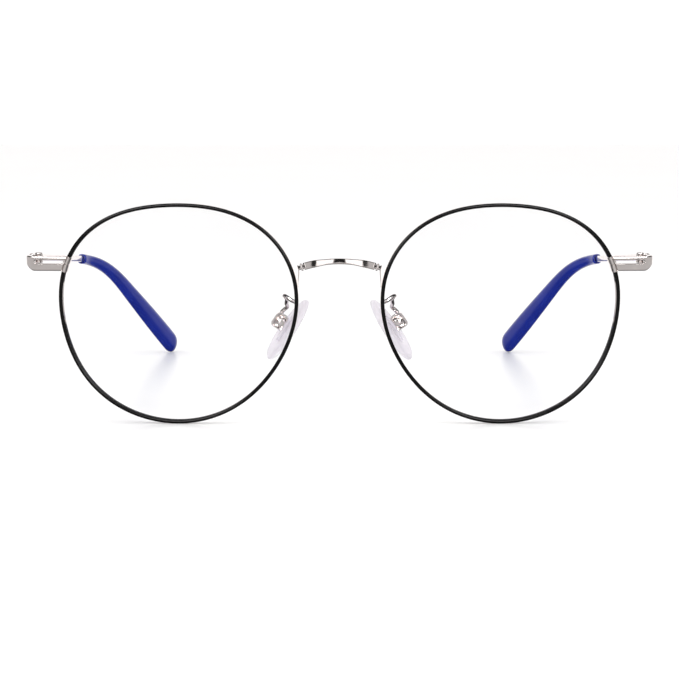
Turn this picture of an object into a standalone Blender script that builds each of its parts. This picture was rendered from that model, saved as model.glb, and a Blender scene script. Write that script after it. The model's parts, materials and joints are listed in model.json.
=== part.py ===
"""Round full-rim spectacles with blue light lenses: front, two folding temples and two rocking pads.

Metres, +Z up, the front faces -Y. The wearer's left is +X. Every piece is drawn for the +X side
and mirrored for the other. The front stands on its two eyewires and the temples on their tips.
"""

import math

import bmesh
import bpy
from mathutils import Matrix, Vector

MM = 0.001

# Front: the box is measured on the middle line of the eyewire.
LENS_WIDTH = 51.4 * MM
LENS_HEIGHT = 47.2 * MM
BRIDGE_GAP = 18.6 * MM
FRONT_WRAP = math.radians(3.0)
# Outline around the box centre, in shares of its mean radius: (order, sine part, cosine part).
OUTLINE_WAVES = ((2, 0.0036, 0.0), (3, 0.0312, 0.0056), (4, 0.0, -0.0097), (5, -0.0007, 0.003))
OUTLINE_STEP = 5

# Eyewire section and its groove
WIRE_FACE = 0.86 * MM
WIRE_DEPTH = 1.7 * MM
WIRE_CHAMFER = 0.14 * MM
GROOVE_DEPTH = 0.40 * MM
GROOVE_HALF = 0.55 * MM

# Lens
LENS_THICKNESS = 1.6 * MM
LENS_CURVE_RADIUS = 130.0 * MM
BEVEL_GAP = 0.10 * MM
SHOULDER_GAP = 0.12 * MM
LENS_RINGS = (0.36, 0.70, 1.0)

# Closing block, on the temporal side of the eyewire
CLOSING_ANGLE = 156.1
BLOCK_LENGTH = 1.60 * MM
BLOCK_OUT = 0.95 * MM
BLOCK_DEPTH = 3.2 * MM
SPLIT_GAP = 0.15 * MM
RIM_SCREW_RADIUS = 0.45 * MM
RIM_SCREW_HEAD = 0.62 * MM
RIM_SCREW_HEAD_HEIGHT = 0.4 * MM
RIM_SCREW_OUT = 0.20 * MM

# Every screw's head: its rim's share of the height, and its flat top's share of the radius
HEAD_RIM = 0.6
HEAD_TOP = 0.75

# Gaps: soldered joint, shaft in a plain hole, and a hinge's running fit
SOLDER_GAP = 0.08 * MM
HOLE_GAP = 0.05 * MM
RUNNING_GAP = 0.06 * MM

# Endpiece: a slotted strip that wraps back to the hinge
ENDPIECE_REACH = 7.57 * MM
ENDPIECE_THICKNESS = 1.1 * MM
ENDPIECE_BEND = 2.1 * MM
ENDPIECE_TOP = 1.82 * MM
ENDPIECE_BOTTOM = -1.38 * MM
SIDE_TOP = 1.92 * MM
SIDE_BOTTOM = 0.05 * MM
STRIP_CHAMFER = 0.18 * MM
WRAP_LENGTH = 5.3 * MM
SLOT_HEIGHT = 0.75 * MM
SLOT_LEVEL = 0.60 * MM
SLOT_PAST_BEND = 0.1 * MM
CUT_REACH = 0.6 * MM

# Hinge
BARREL_RADIUS = 0.95 * MM
HINGE_HEIGHT = 1.9 * MM
HINGE_LEVEL = 0.985 * MM
HINGE_SCREW_RADIUS = 0.5 * MM
HINGE_SCREW_HEAD = 0.85 * MM
HINGE_SCREW_HEAD_HEIGHT = 0.3 * MM
LEAF_THICKNESS = 0.5 * MM
LEAF_LENGTH = 3.1 * MM
WEB_INSET = 0.06 * MM
KNUCKLE_GAP = 0.06 * MM
LEAF_GAP = 0.06 * MM
BUTT_GAP = 0.12 * MM

# Temple: a strip that becomes a wire inside its sleeve
TEMPLE_LENGTH = 137.4 * MM
TEMPLE_HEIGHT = 1.65 * MM
STRIP_STEP = 0.05 * MM
TEMPLE_THICKNESS = ENDPIECE_THICKNESS - STRIP_STEP
STRIP_SQUARENESS = 0.35
TEMPLE_STEP = 0.5 * MM
TEMPLE_LEVEL = 1.25 * MM
TEMPLE_SLOPE = math.radians(4.35)
DROP_ANGLE = math.radians(36.0)
DROP_RUN = 31.0 * MM
INWARD_ANGLE = math.radians(24.6)
BEND_LEAD = 4.0 * MM
INWARD_RUN = 12.0 * MM
WIRE_CORE_RADIUS = 0.65 * MM
WIRE_CORE_END = 9.0 * MM

# Sleeve
SLEEVE_LENGTH = 59.0 * MM
MOUTH_HALF = (1.28 * MM, 1.20 * MM)
TIP_HALF = (2.85 * MM, 1.38 * MM)
SLEEVE_GROWTH = 53.0 * MM
SLEEVE_SQUARENESS = 0.85
BLUNT_LENGTH = 4.5 * MM
# The rounded tip: (share of its length, share of the sleeve's size)
TIP_RINGS = ((0.35, 0.98), (0.6, 0.89), (0.8, 0.72), (0.93, 0.49), (1.0, 0.20))
CHANNEL_GAP = 0.12 * MM
MOUTH_RECESS = 2.2 * MM
RECESS_GAP = 0.16 * MM
RECESS_TAPER = 1.5 * MM

# Bridge
BRIDGE_RISE = 1.28 * MM
NECK_LENGTH = 1.15 * MM
BRIDGE_CROWN = 11.57 * MM
BRIDGE_HEIGHT = 1.22 * MM
BRIDGE_END_HEIGHT = 1.55 * MM
BRIDGE_NECK_HEIGHT = 0.95 * MM
BRIDGE_DEPTH = 1.5 * MM
COLLAR_SWELL = 0.12 * MM
COLLAR_LENGTH = 0.40 * MM
COLLAR_SLOPE = 0.22 * MM
FOOT_ANGLES = (12.0, 22.3)
FOOT_THICKNESS = 1.1 * MM
FOOT_EDGE = 0.12 * MM

# Nose pad, placed from the nasal edge and the middle level of the eyewire
PAD_LENGTH = 15.7 * MM
PAD_WIDTH = 7.5 * MM
PAD_THICKNESS = 1.9 * MM
PAD_TILT = math.radians(34.0)
PAD_SPLAY = math.radians(18.0)
PAD_PIVOT_IN = 3.5 * MM
PAD_PIVOT_DOWN = 2.35 * MM
PAD_PIVOT_BACK = 8.0 * MM
PAD_OFFSET = 2.25 * MM
PAD_DROP = 0.65 * MM
PAD_TAPER = 0.14
# Rings of the pad from its outer edge to its crown: (share of its outline, share of half its thickness)
PAD_RINGS = ((0.84, -1.0), (0.97, -0.62), (1.0, -0.1), (0.94, 0.4), (0.75, 0.76), (0.4, 0.96))
POCKET_SHARE = 0.46
POCKET_DEPTH = 0.7 * MM
INSERT_GAP = 0.12 * MM
LUG_THICKNESS = 1.2 * MM
LUG_RADIUS = 1.3 * MM
LUG_ROOT_SHARE = 0.4
BOX_WALL = 0.5 * MM
BOX_GAP = 0.10 * MM
BOX_LENGTH = 3.4 * MM
BOX_MOUTH_FRONT = 0.9 * MM
BOX_MOUTH_BACK = 0.5 * MM
BOX_TRIM = 0.35 * MM
PAD_SCREW_RADIUS = 0.5 * MM
PAD_SCREW_HEAD = 0.93 * MM
PAD_SCREW_HEAD_HEIGHT = 0.5 * MM
SCREW_SLOT_WIDTH = 0.28 * MM
SCREW_SLOT_DEPTH = 0.22 * MM
ARM_RADIUS = 0.45 * MM
ARM_FOOT = (0.72 * MM, 2.4 * MM, 0.7 * MM)
ARM_ANGLE = 4.0
# Bends of the arm, in mm out, back and up: the hairpin from its foot, and the stretch to its end
ARM_HAIRPIN = ((1.15, 0.45, 0.45), (2.45, 1.45, 1.25), (2.85, 2.45, 1.25), (2.35, 3.30, 0.55))
ARM_DESCENT = ((-1.15, -1.75, 2.05), (-1.30, -0.85, 1.30), (-0.62, -0.20, 0.62))

# (base colour, metallic, roughness, alpha)
FINISHES = {
    "black_enamel": ((0.006, 0.006, 0.007), 0.0, 0.18, 1.0),
    "polished_silver": ((0.60, 0.58, 0.56), 1.0, 0.14, 1.0),
    "blue_sleeve": ((0.012, 0.030, 0.270), 0.0, 0.16, 1.0),
    "clear_lens": ((0.96, 0.98, 1.0), 0.0, 0.02, 0.16),
    "clear_silicone": ((0.86, 0.86, 0.89), 0.0, 0.22, 0.55),
    "clear_insert": ((0.80, 0.82, 0.84), 0.0, 0.15, 0.7),
}


# Shapes: a shape is a list of points and a list of faces, drawn for the +X side.


def loft(rings, closed=False):
    """Joins rings of equally many points, and caps the two ends unless the rings close on themselves."""
    count = len(rings[0])
    points = [point for ring in rings for point in ring]
    faces = []
    pairs = len(rings) if closed else len(rings) - 1
    for k in range(pairs):
        low = k * count
        high = (k + 1) % len(rings) * count
        for i in range(count):
            j = (i + 1) % count
            faces.append((low + i, low + j, high + j, high + i))
    if not closed:
        last = (len(rings) - 1) * count
        faces.append(tuple(reversed(range(count))))
        faces.append(tuple(range(last, last + count)))
    return points, faces


def extruded(outline, place, start, end):
    """A flat outline of (a, b) pairs drawn out from start to end; place turns (a, b, c) into a point."""
    rings = [[place(a, b, c) for a, b in outline] for c in (start, end)]
    return loft(rings)


def turned(profile, centre, axis, side_axis, sides):
    """A solid turned about an axis from a profile of (radius, height) pairs."""
    axis = axis.normalized()
    first = (side_axis - axis * side_axis.dot(axis)).normalized()
    second = axis.cross(first)
    rings = []
    for radius, height in profile:
        ring = []
        for i in range(sides):
            turn = 2 * math.pi * i / sides
            arm = first * math.cos(turn) + second * math.sin(turn)
            ring.append(centre + axis * height + arm * radius)
        rings.append(ring)
    return loft(rings)


def tube(outer, inner, bottom, top, centre, sides):
    """An upright ring with a round hole."""
    rings = []
    for radius, height in ((outer, bottom), (outer, top), (inner, top), (inner, bottom)):
        ring = []
        for i in range(sides):
            turn = 2 * math.pi * i / sides
            across, along = radius * math.cos(turn), radius * math.sin(turn)
            ring.append(Vector((centre.x + across, centre.y + along, height)))
        rings.append(ring)
    return loft(rings, closed=True)


def screw_profile(shaft, head, tip, under, head_height):
    """A screw from its tip to under its head, and the head's height beyond that."""
    rim = under + head_height * HEAD_RIM
    return (shaft, tip), (shaft, under), (head, under), (head, rim), (head * HEAD_TOP, under + head_height)


def block(low, high):
    """An upright box between two corners."""
    outline = ((low[0], low[1]), (high[0], low[1]), (high[0], high[1]), (low[0], high[1]))
    return extruded(outline, lambda a, b, c: Vector((a, b, c)), low[2], high[2])


def smooth_path(knots, steps):
    """Points along a Catmull-Rom curve through the knots."""
    ends = [2 * knots[0] - knots[1], *knots, 2 * knots[-1] - knots[-2]]
    path = []
    for before, start, end, after in zip(ends, ends[1:], ends[2:], ends[3:]):
        for step in range(steps):
            t = step / steps
            path.append(
                0.5
                * (
                    2 * start
                    + (end - before) * t
                    + (2 * before - 5 * start + 4 * end - after) * t**2
                    + (3 * start - before - 3 * end + after) * t**3
                )
            )
    path.append(knots[-1].copy())
    return path


def rod(path, radius, sides):
    """A round rod along a path, its section carried along without twist."""
    rings = []
    across = None
    for k, point in enumerate(path):
        along = (path[min(k + 1, len(path) - 1)] - path[max(k - 1, 0)]).normalized()
        if across is None:
            across = along.orthogonal()
        across = (across - along * across.dot(along)).normalized()
        other = along.cross(across)
        ring = []
        for i in range(sides):
            turn = 2 * math.pi * i / sides
            ring.append(point + (across * math.cos(turn) + other * math.sin(turn)) * radius)
        rings.append(ring)
    return loft(rings)


def ease(share):
    """A smooth step from 0 to 1."""
    share = min(max(share, 0.0), 1.0)
    return share * share * (3 - 2 * share)


# Places on the front


def raw_outline(angle):
    """The eyewire's middle line before it is fitted to its box; 0 is nasal and 90 the top."""
    turn = math.radians(angle)
    radius = 1.0
    for order, sine, cosine in OUTLINE_WAVES:
        radius += sine * math.sin(order * turn) + cosine * math.cos(order * turn)
    return radius * math.cos(turn), radius * math.sin(turn)


RAW_POINTS = [raw_outline(angle / 2) for angle in range(720)]
RAW_NASAL = max(x for x, z in RAW_POINTS)
RAW_TEMPORAL = min(x for x, z in RAW_POINTS)
RAW_BOTTOM = min(z for x, z in RAW_POINTS)
RAW_TOP = max(z for x, z in RAW_POINTS)


def middle_line(angle):
    """(distance from the nasal edge of the box, height) of the eyewire's middle line."""
    x, z = raw_outline(angle)
    out = (RAW_NASAL - x) / (RAW_NASAL - RAW_TEMPORAL) * LENS_WIDTH
    up = (z - RAW_BOTTOM) / (RAW_TOP - RAW_BOTTOM) * LENS_HEIGHT
    return Vector((out, up + WIRE_FACE / 2))


def line_tangent(angle):
    """The middle line's direction as the angle grows, and its change in length for one degree."""
    run = middle_line(angle + 0.5) - middle_line(angle - 0.5)
    return run.normalized(), run.length


def in_front(out, up, depth):
    """A point of the front: out from the nasal edge of the box, up from the floor, back by depth."""
    sine, cosine = math.sin(FRONT_WRAP), math.cos(FRONT_WRAP)
    return Vector((BRIDGE_GAP / 2 + out * cosine - depth * sine, out * sine + depth * cosine, up))


def rim_point(angle, outward, depth):
    """A point by its angle on the eyewire, its distance outward of the middle line and its depth."""
    tangent, _ = line_tangent(angle)
    flat = middle_line(angle) + Vector((tangent.y, -tangent.x)) * -outward
    return in_front(flat.x, flat.y, depth)


HALF_FACE = WIRE_FACE / 2
GROOVE_MIDDLE = WIRE_DEPTH / 2
DEGREE_LENGTH = line_tangent(CLOSING_ANGLE)[1]
CLOSING_LINE = middle_line(CLOSING_ANGLE)
CLOSING_LEVEL = CLOSING_LINE.y
SPLIT_HALF = SPLIT_GAP / 2 / DEGREE_LENGTH
BLOCK_SPAN = BLOCK_LENGTH / DEGREE_LENGTH
WIRE_START = SPLIT_HALF + BLOCK_SPAN + SOLDER_GAP / DEGREE_LENGTH

# Places of the endpiece and the hinge
SIDE_X = BRIDGE_GAP / 2 + LENS_WIDTH * math.cos(FRONT_WRAP) + ENDPIECE_REACH
BEND_CENTRE_X = SIDE_X - ENDPIECE_BEND
BEND_RISE = (BEND_CENTRE_X - BRIDGE_GAP / 2) * math.sin(FRONT_WRAP)
BEND_CENTRE_Y = (ENDPIECE_BEND + BEND_RISE) / math.cos(FRONT_WRAP)
INNER_X = SIDE_X - ENDPIECE_THICKNESS
HINGE_X = INNER_X - LEAF_GAP - BARREL_RADIUS
HINGE_Y = BEND_CENTRE_Y - ENDPIECE_BEND + WRAP_LENGTH
HINGE_LOW = CLOSING_LEVEL + HINGE_LEVEL - HINGE_HEIGHT / 2
HINGE_HIGH = CLOSING_LEVEL + HINGE_LEVEL + HINGE_HEIGHT / 2
HINGE_AT = Vector((HINGE_X, HINGE_Y, HINGE_LOW))

# Place and directions of the nose pad: along it, towards the nose, and back
PAD_AT = Vector(
    (
        BRIDGE_GAP / 2 + PAD_PIVOT_IN,
        PAD_PIVOT_BACK,
        LENS_HEIGHT / 2 + HALF_FACE - PAD_PIVOT_DOWN,
    )
)
PAD_ALONG = Vector((math.sin(PAD_TILT), 0, -math.cos(PAD_TILT)))
PAD_NOSEWARD = Vector((-math.cos(PAD_TILT), 0, -math.sin(PAD_TILT)))
BACKWARD = Vector((0, 1, 0))


# Pieces of the front


def wire_section(outer, back):
    """The eyewire's section as (outward, depth) pairs, open to the lens; outer is its outer side."""
    half, trim = HALF_FACE, WIRE_CHAMFER
    inner = [
        (-half, back - trim),
        (-half, GROOVE_MIDDLE + GROOVE_HALF),
        (-half + GROOVE_DEPTH, GROOVE_MIDDLE),
        (-half, GROOVE_MIDDLE - GROOVE_HALF),
        (-half, trim),
        (-half + trim, 0),
        (half - trim, 0),
        (half, trim),
    ]
    return inner + outer


def eyewire():
    half, trim = HALF_FACE, WIRE_CHAMFER
    outer = [(half, WIRE_DEPTH - trim), (half - trim, WIRE_DEPTH), (-half + trim, WIRE_DEPTH)]
    section = wire_section(outer, WIRE_DEPTH)
    start = CLOSING_ANGLE + WIRE_START
    end = CLOSING_ANGLE + 360 - WIRE_START
    steps = range(math.ceil(start / OUTLINE_STEP), math.floor(end / OUTLINE_STEP) + 1)
    angles = [start, *(step * OUTLINE_STEP for step in steps), end]
    return loft([[rim_point(angle, out, depth) for out, depth in section] for angle in angles])


def closing_block(direction):
    """One half of the closing block: direction -1 is the upper one and 1 the lower one."""
    shelf = ENDPIECE_THICKNESS + SOLDER_GAP
    outer = [(HALF_FACE, shelf), (BLOCK_OUT, shelf), (BLOCK_OUT, BLOCK_DEPTH), (-HALF_FACE, BLOCK_DEPTH)]
    section = wire_section(outer, BLOCK_DEPTH)
    section.pop(0)
    angles = [CLOSING_ANGLE + direction * (SPLIT_HALF + BLOCK_SPAN * share) for share in (0, 0.5, 1)]
    return loft([[rim_point(angle, out, depth) for out, depth in section] for angle in angles])


RIM_SCREW_DEPTH = WIRE_DEPTH + RIM_SCREW_HEAD + SOLDER_GAP
RIM_SCREW_AT = rim_point(CLOSING_ANGLE, RIM_SCREW_OUT, RIM_SCREW_DEPTH)
RIM_SCREW_AXIS = (rim_point(CLOSING_ANGLE + 1, 0, 0) - rim_point(CLOSING_ANGLE - 1, 0, 0)).normalized()


def rim_screw_hole():
    reach = 2 * BLOCK_LENGTH
    radius = RIM_SCREW_RADIUS + HOLE_GAP
    return turned(((radius, -reach), (radius, reach)), RIM_SCREW_AT, RIM_SCREW_AXIS, BACKWARD, 12)


def rim_screw():
    under = SPLIT_GAP / 2 + BLOCK_LENGTH + SOLDER_GAP
    tip = -(SPLIT_GAP / 2 + BLOCK_LENGTH)
    profile = screw_profile(RIM_SCREW_RADIUS, RIM_SCREW_HEAD, tip, under, RIM_SCREW_HEAD_HEIGHT)
    return turned(profile, RIM_SCREW_AT, RIM_SCREW_AXIS, BACKWARD, 12)


def lens():
    """A domed lens with a V bevel that fits the groove of the eyewire."""
    shoulder = -HALF_FACE - SHOULDER_GAP
    apex = -HALF_FACE + GROOVE_DEPTH - BEVEL_GAP
    flank = GROOVE_HALF * (apex - shoulder) / GROOVE_DEPTH
    radius = (LENS_WIDTH + LENS_HEIGHT) / 4
    dome = LENS_CURVE_RADIUS - math.sqrt(LENS_CURVE_RADIUS**2 - radius**2)
    angles = range(0, 360, OUTLINE_STEP)
    middle = in_front(LENS_WIDTH / 2, LENS_HEIGHT / 2 + HALF_FACE, 0)

    def face_ring(share, depth):
        ring = []
        for angle in angles:
            edge = rim_point(angle, shoulder, 0)
            place = middle + (edge - middle) * share
            ring.append(place + in_front(0, 0, depth - dome * (1 - share**2)) - in_front(0, 0, 0))
        return ring

    front = GROOVE_MIDDLE - LENS_THICKNESS / 2
    back = GROOVE_MIDDLE + LENS_THICKNESS / 2
    rings = [face_ring(share, front) for share in LENS_RINGS]
    for out, lean in ((shoulder, -flank), (apex, 0), (shoulder, flank)):
        depth = GROOVE_MIDDLE + lean
        rings.append([rim_point(angle, out, depth) for angle in angles])
    rings += [face_ring(share, back) for share in reversed(LENS_RINGS)]
    points, faces = loft(rings)
    faces = faces[:-2]
    count = len(angles)
    for depth, first in ((front, 0), (back, (len(rings) - 1) * count)):
        centre = len(points)
        points.append(middle + in_front(0, 0, depth - dome) - in_front(0, 0, 0))
        for i in range(count):
            faces.append((centre, first + i, first + (i + 1) % count))
    return points, faces


def strip_ring(outer, inward, bottom, top):
    """A flat strip's section, its corners trimmed; outer(z) is the outer side's plan point at a height."""
    trim, thick = STRIP_CHAMFER, ENDPIECE_THICKNESS
    corners = (
        (0, bottom + trim),
        (0, top - trim),
        (trim, top),
        (thick - trim, top),
        (thick, top - trim),
        (thick, bottom + trim),
        (thick - trim, bottom),
        (trim, bottom),
    )
    ring = []
    for depth, level in corners:
        place = outer(level) + inward * depth
        ring.append(Vector((place.x, place.y, level)))
    return ring


def band_edge(level):
    """How far out the outer side of the closing block's band lies at a height, by its tangent."""
    tangent, _ = line_tangent(CLOSING_ANGLE)
    edge = CLOSING_LINE + Vector((-tangent.y, tangent.x)) * HALF_FACE
    return edge.x + (level - edge.y) * tangent.x / tangent.y


def endpiece():
    """The strip from the closing block, round the corner and back to the hinge."""
    top, bottom = CLOSING_LEVEL + ENDPIECE_TOP, CLOSING_LEVEL + ENDPIECE_BOTTOM
    side_top, side_bottom = CLOSING_LEVEL + SIDE_TOP, CLOSING_LEVEL + SIDE_BOTTOM
    along = Vector((math.cos(FRONT_WRAP), math.sin(FRONT_WRAP), 0))
    back = Vector((-along.y, along.x, 0))
    slack = SOLDER_GAP / abs(line_tangent(CLOSING_ANGLE)[0].y)
    rings = [strip_ring(lambda level: in_front(band_edge(level) + slack, level, 0), back, bottom, top)]
    corner = Vector((BEND_CENTRE_X, BEND_CENTRE_Y, 0))
    steps = 5
    for step in range(steps + 1):
        turn = FRONT_WRAP + (math.pi / 2 - FRONT_WRAP) * step / steps
        inward = Vector((-math.sin(turn), math.cos(turn), 0))
        place = corner - inward * ENDPIECE_BEND
        rise = ease(step / steps)
        rings.append(
            strip_ring(
                lambda level, place=place: place,
                inward,
                bottom + (side_bottom - bottom) * rise,
                top + (side_top - top) * rise,
            )
        )
    rear = Vector((SIDE_X, HINGE_Y - BUTT_GAP / 2, 0))
    rings.append(strip_ring(lambda level: rear, Vector((-1, 0, 0)), side_bottom, side_top))
    return loft(rings)


def endpiece_slot():
    """The long slot between the endpiece's two bars, round at its outer end and open to the eyewire."""
    level = CLOSING_LEVEL + SLOT_LEVEL
    radius = SLOT_HEIGHT / 2
    start = band_edge(level)
    end = (BEND_CENTRE_X - BRIDGE_GAP / 2) / math.cos(FRONT_WRAP) + SLOT_PAST_BEND - radius
    outline = []
    for centre, first in ((end, -90), (start, 90)):
        for step in range(7):
            turn = math.radians(first + step * 30)
            outline.append((centre + radius * math.cos(turn), level + radius * math.sin(turn)))
    return extruded(outline, in_front, -CUT_REACH, ENDPIECE_THICKNESS + CUT_REACH)


def barrel(bottom, top, gap):
    return tube(BARREL_RADIUS, HINGE_SCREW_RADIUS + gap, bottom, top, HINGE_AT, 16)


def knuckle_levels():
    """Bottom and top of the three knuckles, from the lowest."""
    third = HINGE_HEIGHT / 3
    lower = (HINGE_LOW, HINGE_LOW + third - KNUCKLE_GAP)
    middle = (HINGE_LOW + third, HINGE_HIGH - third)
    upper = (HINGE_HIGH - third + KNUCKLE_GAP, HINGE_HIGH)
    return lower, middle, upper


def leaf_plate(direction):
    """The flat leaf beside the strip: direction -1 lies on the endpiece and 1 on the temple."""
    outer = INNER_X - LEAF_GAP
    near = HINGE_Y + direction * (BARREL_RADIUS + RUNNING_GAP)
    far = HINGE_Y + direction * LEAF_LENGTH
    return block((outer - LEAF_THICKNESS, min(near, far), HINGE_LOW), (outer, max(near, far), HINGE_HIGH))


def leaf_web(direction, levels):
    """The neck that joins a knuckle to its leaf; it clears the screw's hole."""
    outer = INNER_X - LEAF_GAP
    inner = HINGE_X + HINGE_SCREW_RADIUS + RUNNING_GAP + WEB_INSET
    far = HINGE_Y + direction * (BARREL_RADIUS + LEAF_THICKNESS)
    low = (inner, min(HINGE_Y, far), levels[0])
    high = (outer - WEB_INSET / 2, max(HINGE_Y, far), levels[1])
    return block(low, high)


def hinge_screw():
    under = HINGE_HIGH + KNUCKLE_GAP
    profile = screw_profile(HINGE_SCREW_RADIUS, HINGE_SCREW_HEAD, HINGE_LOW, under, HINGE_SCREW_HEAD_HEIGHT)
    centre = Vector((HINGE_X, HINGE_Y, 0))
    return turned(profile, centre, Vector((0, 0, 1)), Vector((1, 0, 0)), 16)


BRIDGE_SPAN = BRIDGE_GAP / 2 - NECK_LENGTH


def bridge_level(out):
    """Height of the bridge's middle line at a distance from the centre."""
    crown = LENS_HEIGHT / 2 + HALF_FACE + BRIDGE_CROWN
    return crown - BRIDGE_RISE * (out / BRIDGE_SPAN) ** 2


def bridge_arch():
    """The arched bar with a collar near each end; its ends run into the feet."""
    collar_start = BRIDGE_SPAN - COLLAR_LENGTH / 2
    collar_end = BRIDGE_SPAN + COLLAR_LENGTH / 2
    half = [
        (0, BRIDGE_HEIGHT, 0),
        (collar_start / 3, BRIDGE_HEIGHT, 0),
        (collar_start * 2 / 3, (BRIDGE_HEIGHT + BRIDGE_END_HEIGHT) / 2, 0),
        (collar_start - COLLAR_SLOPE, BRIDGE_END_HEIGHT, 0),
        (collar_start, BRIDGE_END_HEIGHT, COLLAR_SWELL),
        (collar_end, BRIDGE_END_HEIGHT, COLLAR_SWELL),
        (collar_end + COLLAR_SLOPE, BRIDGE_NECK_HEIGHT, 0),
        (BRIDGE_GAP / 2, BRIDGE_NECK_HEIGHT, 0),
    ]
    stations = [(-out, height, swell) for out, height, swell in reversed(half[1:])] + half
    middle = BRIDGE_DEPTH / 2
    rings = []
    for out, height, swell in stations:
        slope = -2 * BRIDGE_RISE * out / BRIDGE_SPAN**2
        up = Vector((-slope, 0, 1)).normalized()
        tall, deep = height / 2 + swell, middle + swell / 2
        centre = Vector((out, middle, bridge_level(out)))
        ring = []
        for i in range(12):
            turn = 2 * math.pi * (i + 0.5) / 12
            bulge = max(abs(math.cos(turn)), abs(math.sin(turn))) ** 0.5
            arm = up * (tall * math.sin(turn) / bulge) + BACKWARD * (deep * math.cos(turn) / bulge)
            ring.append(centre + arm)
        rings.append(ring)
    return loft(rings)


def bridge_foot(side):
    """The tapered foot that is soldered down the nasal side of one eyewire."""
    low, high = FOOT_ANGLES
    steps = 6
    front, back = FOOT_EDGE, BRIDGE_DEPTH
    rings = []
    for step in range(steps + 1):
        share = step / steps
        angle = low + (high - low) * share
        near = HALF_FACE + SOLDER_GAP
        far = near + FOOT_EDGE + FOOT_THICKNESS * ease(share)
        corners = ((near, front), (far, front), (far, back), (near, back))
        ring = [rim_point(angle, out, depth) for out, depth in corners]
        rings.append([Vector((side * point.x, point.y, point.z)) for point in ring])
    return loft(rings)


# Nose pad and its holder


def pad_place(along, noseward, back):
    """A point by the directions of the nose pad, from the axis of its screw."""
    return PAD_AT + PAD_ALONG * along + PAD_NOSEWARD * noseward + BACKWARD * back


def pad_body_place(along, thick, wide):
    """A point of the pad itself, turned outward by its splay about its long direction."""
    sine, cosine = math.sin(PAD_SPLAY), math.cos(PAD_SPLAY)
    noseward = PAD_OFFSET + thick * cosine - wide * sine
    back = thick * sine + wide * cosine
    return pad_place(along + PAD_DROP, noseward, back)


def pad_ring(share, thick, sides=20):
    """A drop-shaped ring of the pad, wider at its lower end."""
    ring = []
    for i in range(sides):
        turn = 2 * math.pi * i / sides
        along = math.cos(turn) * PAD_LENGTH / 2 * share
        wide = math.sin(turn) * PAD_WIDTH / 2 * share * (1 + PAD_TAPER * math.cos(turn))
        ring.append(pad_body_place(along, thick, wide))
    return ring


def nose_pad():
    """The soft pad, domed to the nose, with a pocket for the insert in its outer side."""
    half = PAD_THICKNESS / 2
    rings = [pad_ring(POCKET_SHARE, POCKET_DEPTH - half), pad_ring(POCKET_SHARE, -half)]
    rings += [pad_ring(share, height * half) for share, height in PAD_RINGS]
    return loft(rings)


def pad_insert_plate():
    half = PAD_THICKNESS / 2
    share = POCKET_SHARE - 2 * INSERT_GAP / PAD_WIDTH
    return loft([pad_ring(share, POCKET_DEPTH - half - INSERT_GAP), pad_ring(share, -half)])


def pad_lug():
    """The lug with a round end that stands in the box."""
    root = PAD_OFFSET - PAD_THICKNESS / 2 + POCKET_DEPTH * LUG_ROOT_SHARE
    outline = [(-LUG_RADIUS, root), (LUG_RADIUS, root)]
    for step in range(9):
        turn = math.radians(180 * step / 8)
        outline.append((LUG_RADIUS * math.cos(turn), -LUG_RADIUS * math.sin(turn)))
    return extruded(outline, pad_place, -LUG_THICKNESS / 2, LUG_THICKNESS / 2)


def pad_hole(gap):
    reach = 3 * LUG_THICKNESS
    radius = PAD_SCREW_RADIUS + gap
    return turned(((radius, -reach), (radius, reach)), PAD_AT, BACKWARD, PAD_ALONG, 16)


def pad_box():
    """The channel that holds the lug between its two cheeks."""
    inner = LUG_THICKNESS / 2 + BOX_GAP
    outer = inner + BOX_WALL
    floor = -LUG_RADIUS - BOX_GAP
    back = floor - BOX_WALL
    outline = [
        (BOX_MOUTH_FRONT, -outer),
        (BOX_MOUTH_FRONT, -inner),
        (floor, -inner),
        (floor, inner),
        (BOX_MOUTH_BACK, inner),
        (BOX_MOUTH_BACK, outer),
        (back + BOX_TRIM, outer),
        (back, outer - BOX_TRIM),
        (back, -outer + BOX_TRIM),
        (back + BOX_TRIM, -outer),
    ]
    return extruded(outline, lambda a, b, c: pad_place(c, a, b), -BOX_LENGTH / 2, BOX_LENGTH / 2)


def pad_screw():
    """A screw with its slotted head to the front."""
    cheek = LUG_THICKNESS / 2 + BOX_GAP + BOX_WALL
    under = -cheek - HOLE_GAP
    profile = screw_profile(PAD_SCREW_RADIUS, PAD_SCREW_HEAD, cheek, under, -PAD_SCREW_HEAD_HEIGHT)
    return turned(profile, PAD_AT, BACKWARD, PAD_ALONG, 16)


def pad_screw_slot():
    top = -(LUG_THICKNESS / 2 + BOX_GAP + BOX_WALL + HOLE_GAP + PAD_SCREW_HEAD_HEIGHT)
    half = SCREW_SLOT_WIDTH / 2
    reach = 2 * PAD_SCREW_HEAD
    outline = ((-reach, -half), (reach, -half), (reach, half), (-reach, half))
    return extruded(outline, pad_place, top - SCREW_SLOT_DEPTH, top + SCREW_SLOT_DEPTH)


def pad_arm():
    """The bent rod from the back of the eyewire, out, round a hairpin and down to the box."""
    root = rim_point(ARM_ANGLE, 0, WIRE_DEPTH + SOLDER_GAP + ARM_FOOT[2] / 2)
    wall = -LUG_RADIUS - BOX_GAP
    end = pad_place(-BOX_LENGTH / 2 - SOLDER_GAP, wall + ARM_RADIUS / 2, 0)
    bends = [root + Vector(bend) * MM for bend in ARM_HAIRPIN]
    bends += [end + Vector(bend) * MM for bend in ARM_DESCENT]
    return rod(smooth_path([root, *bends, end], 3), ARM_RADIUS, 10)


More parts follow.
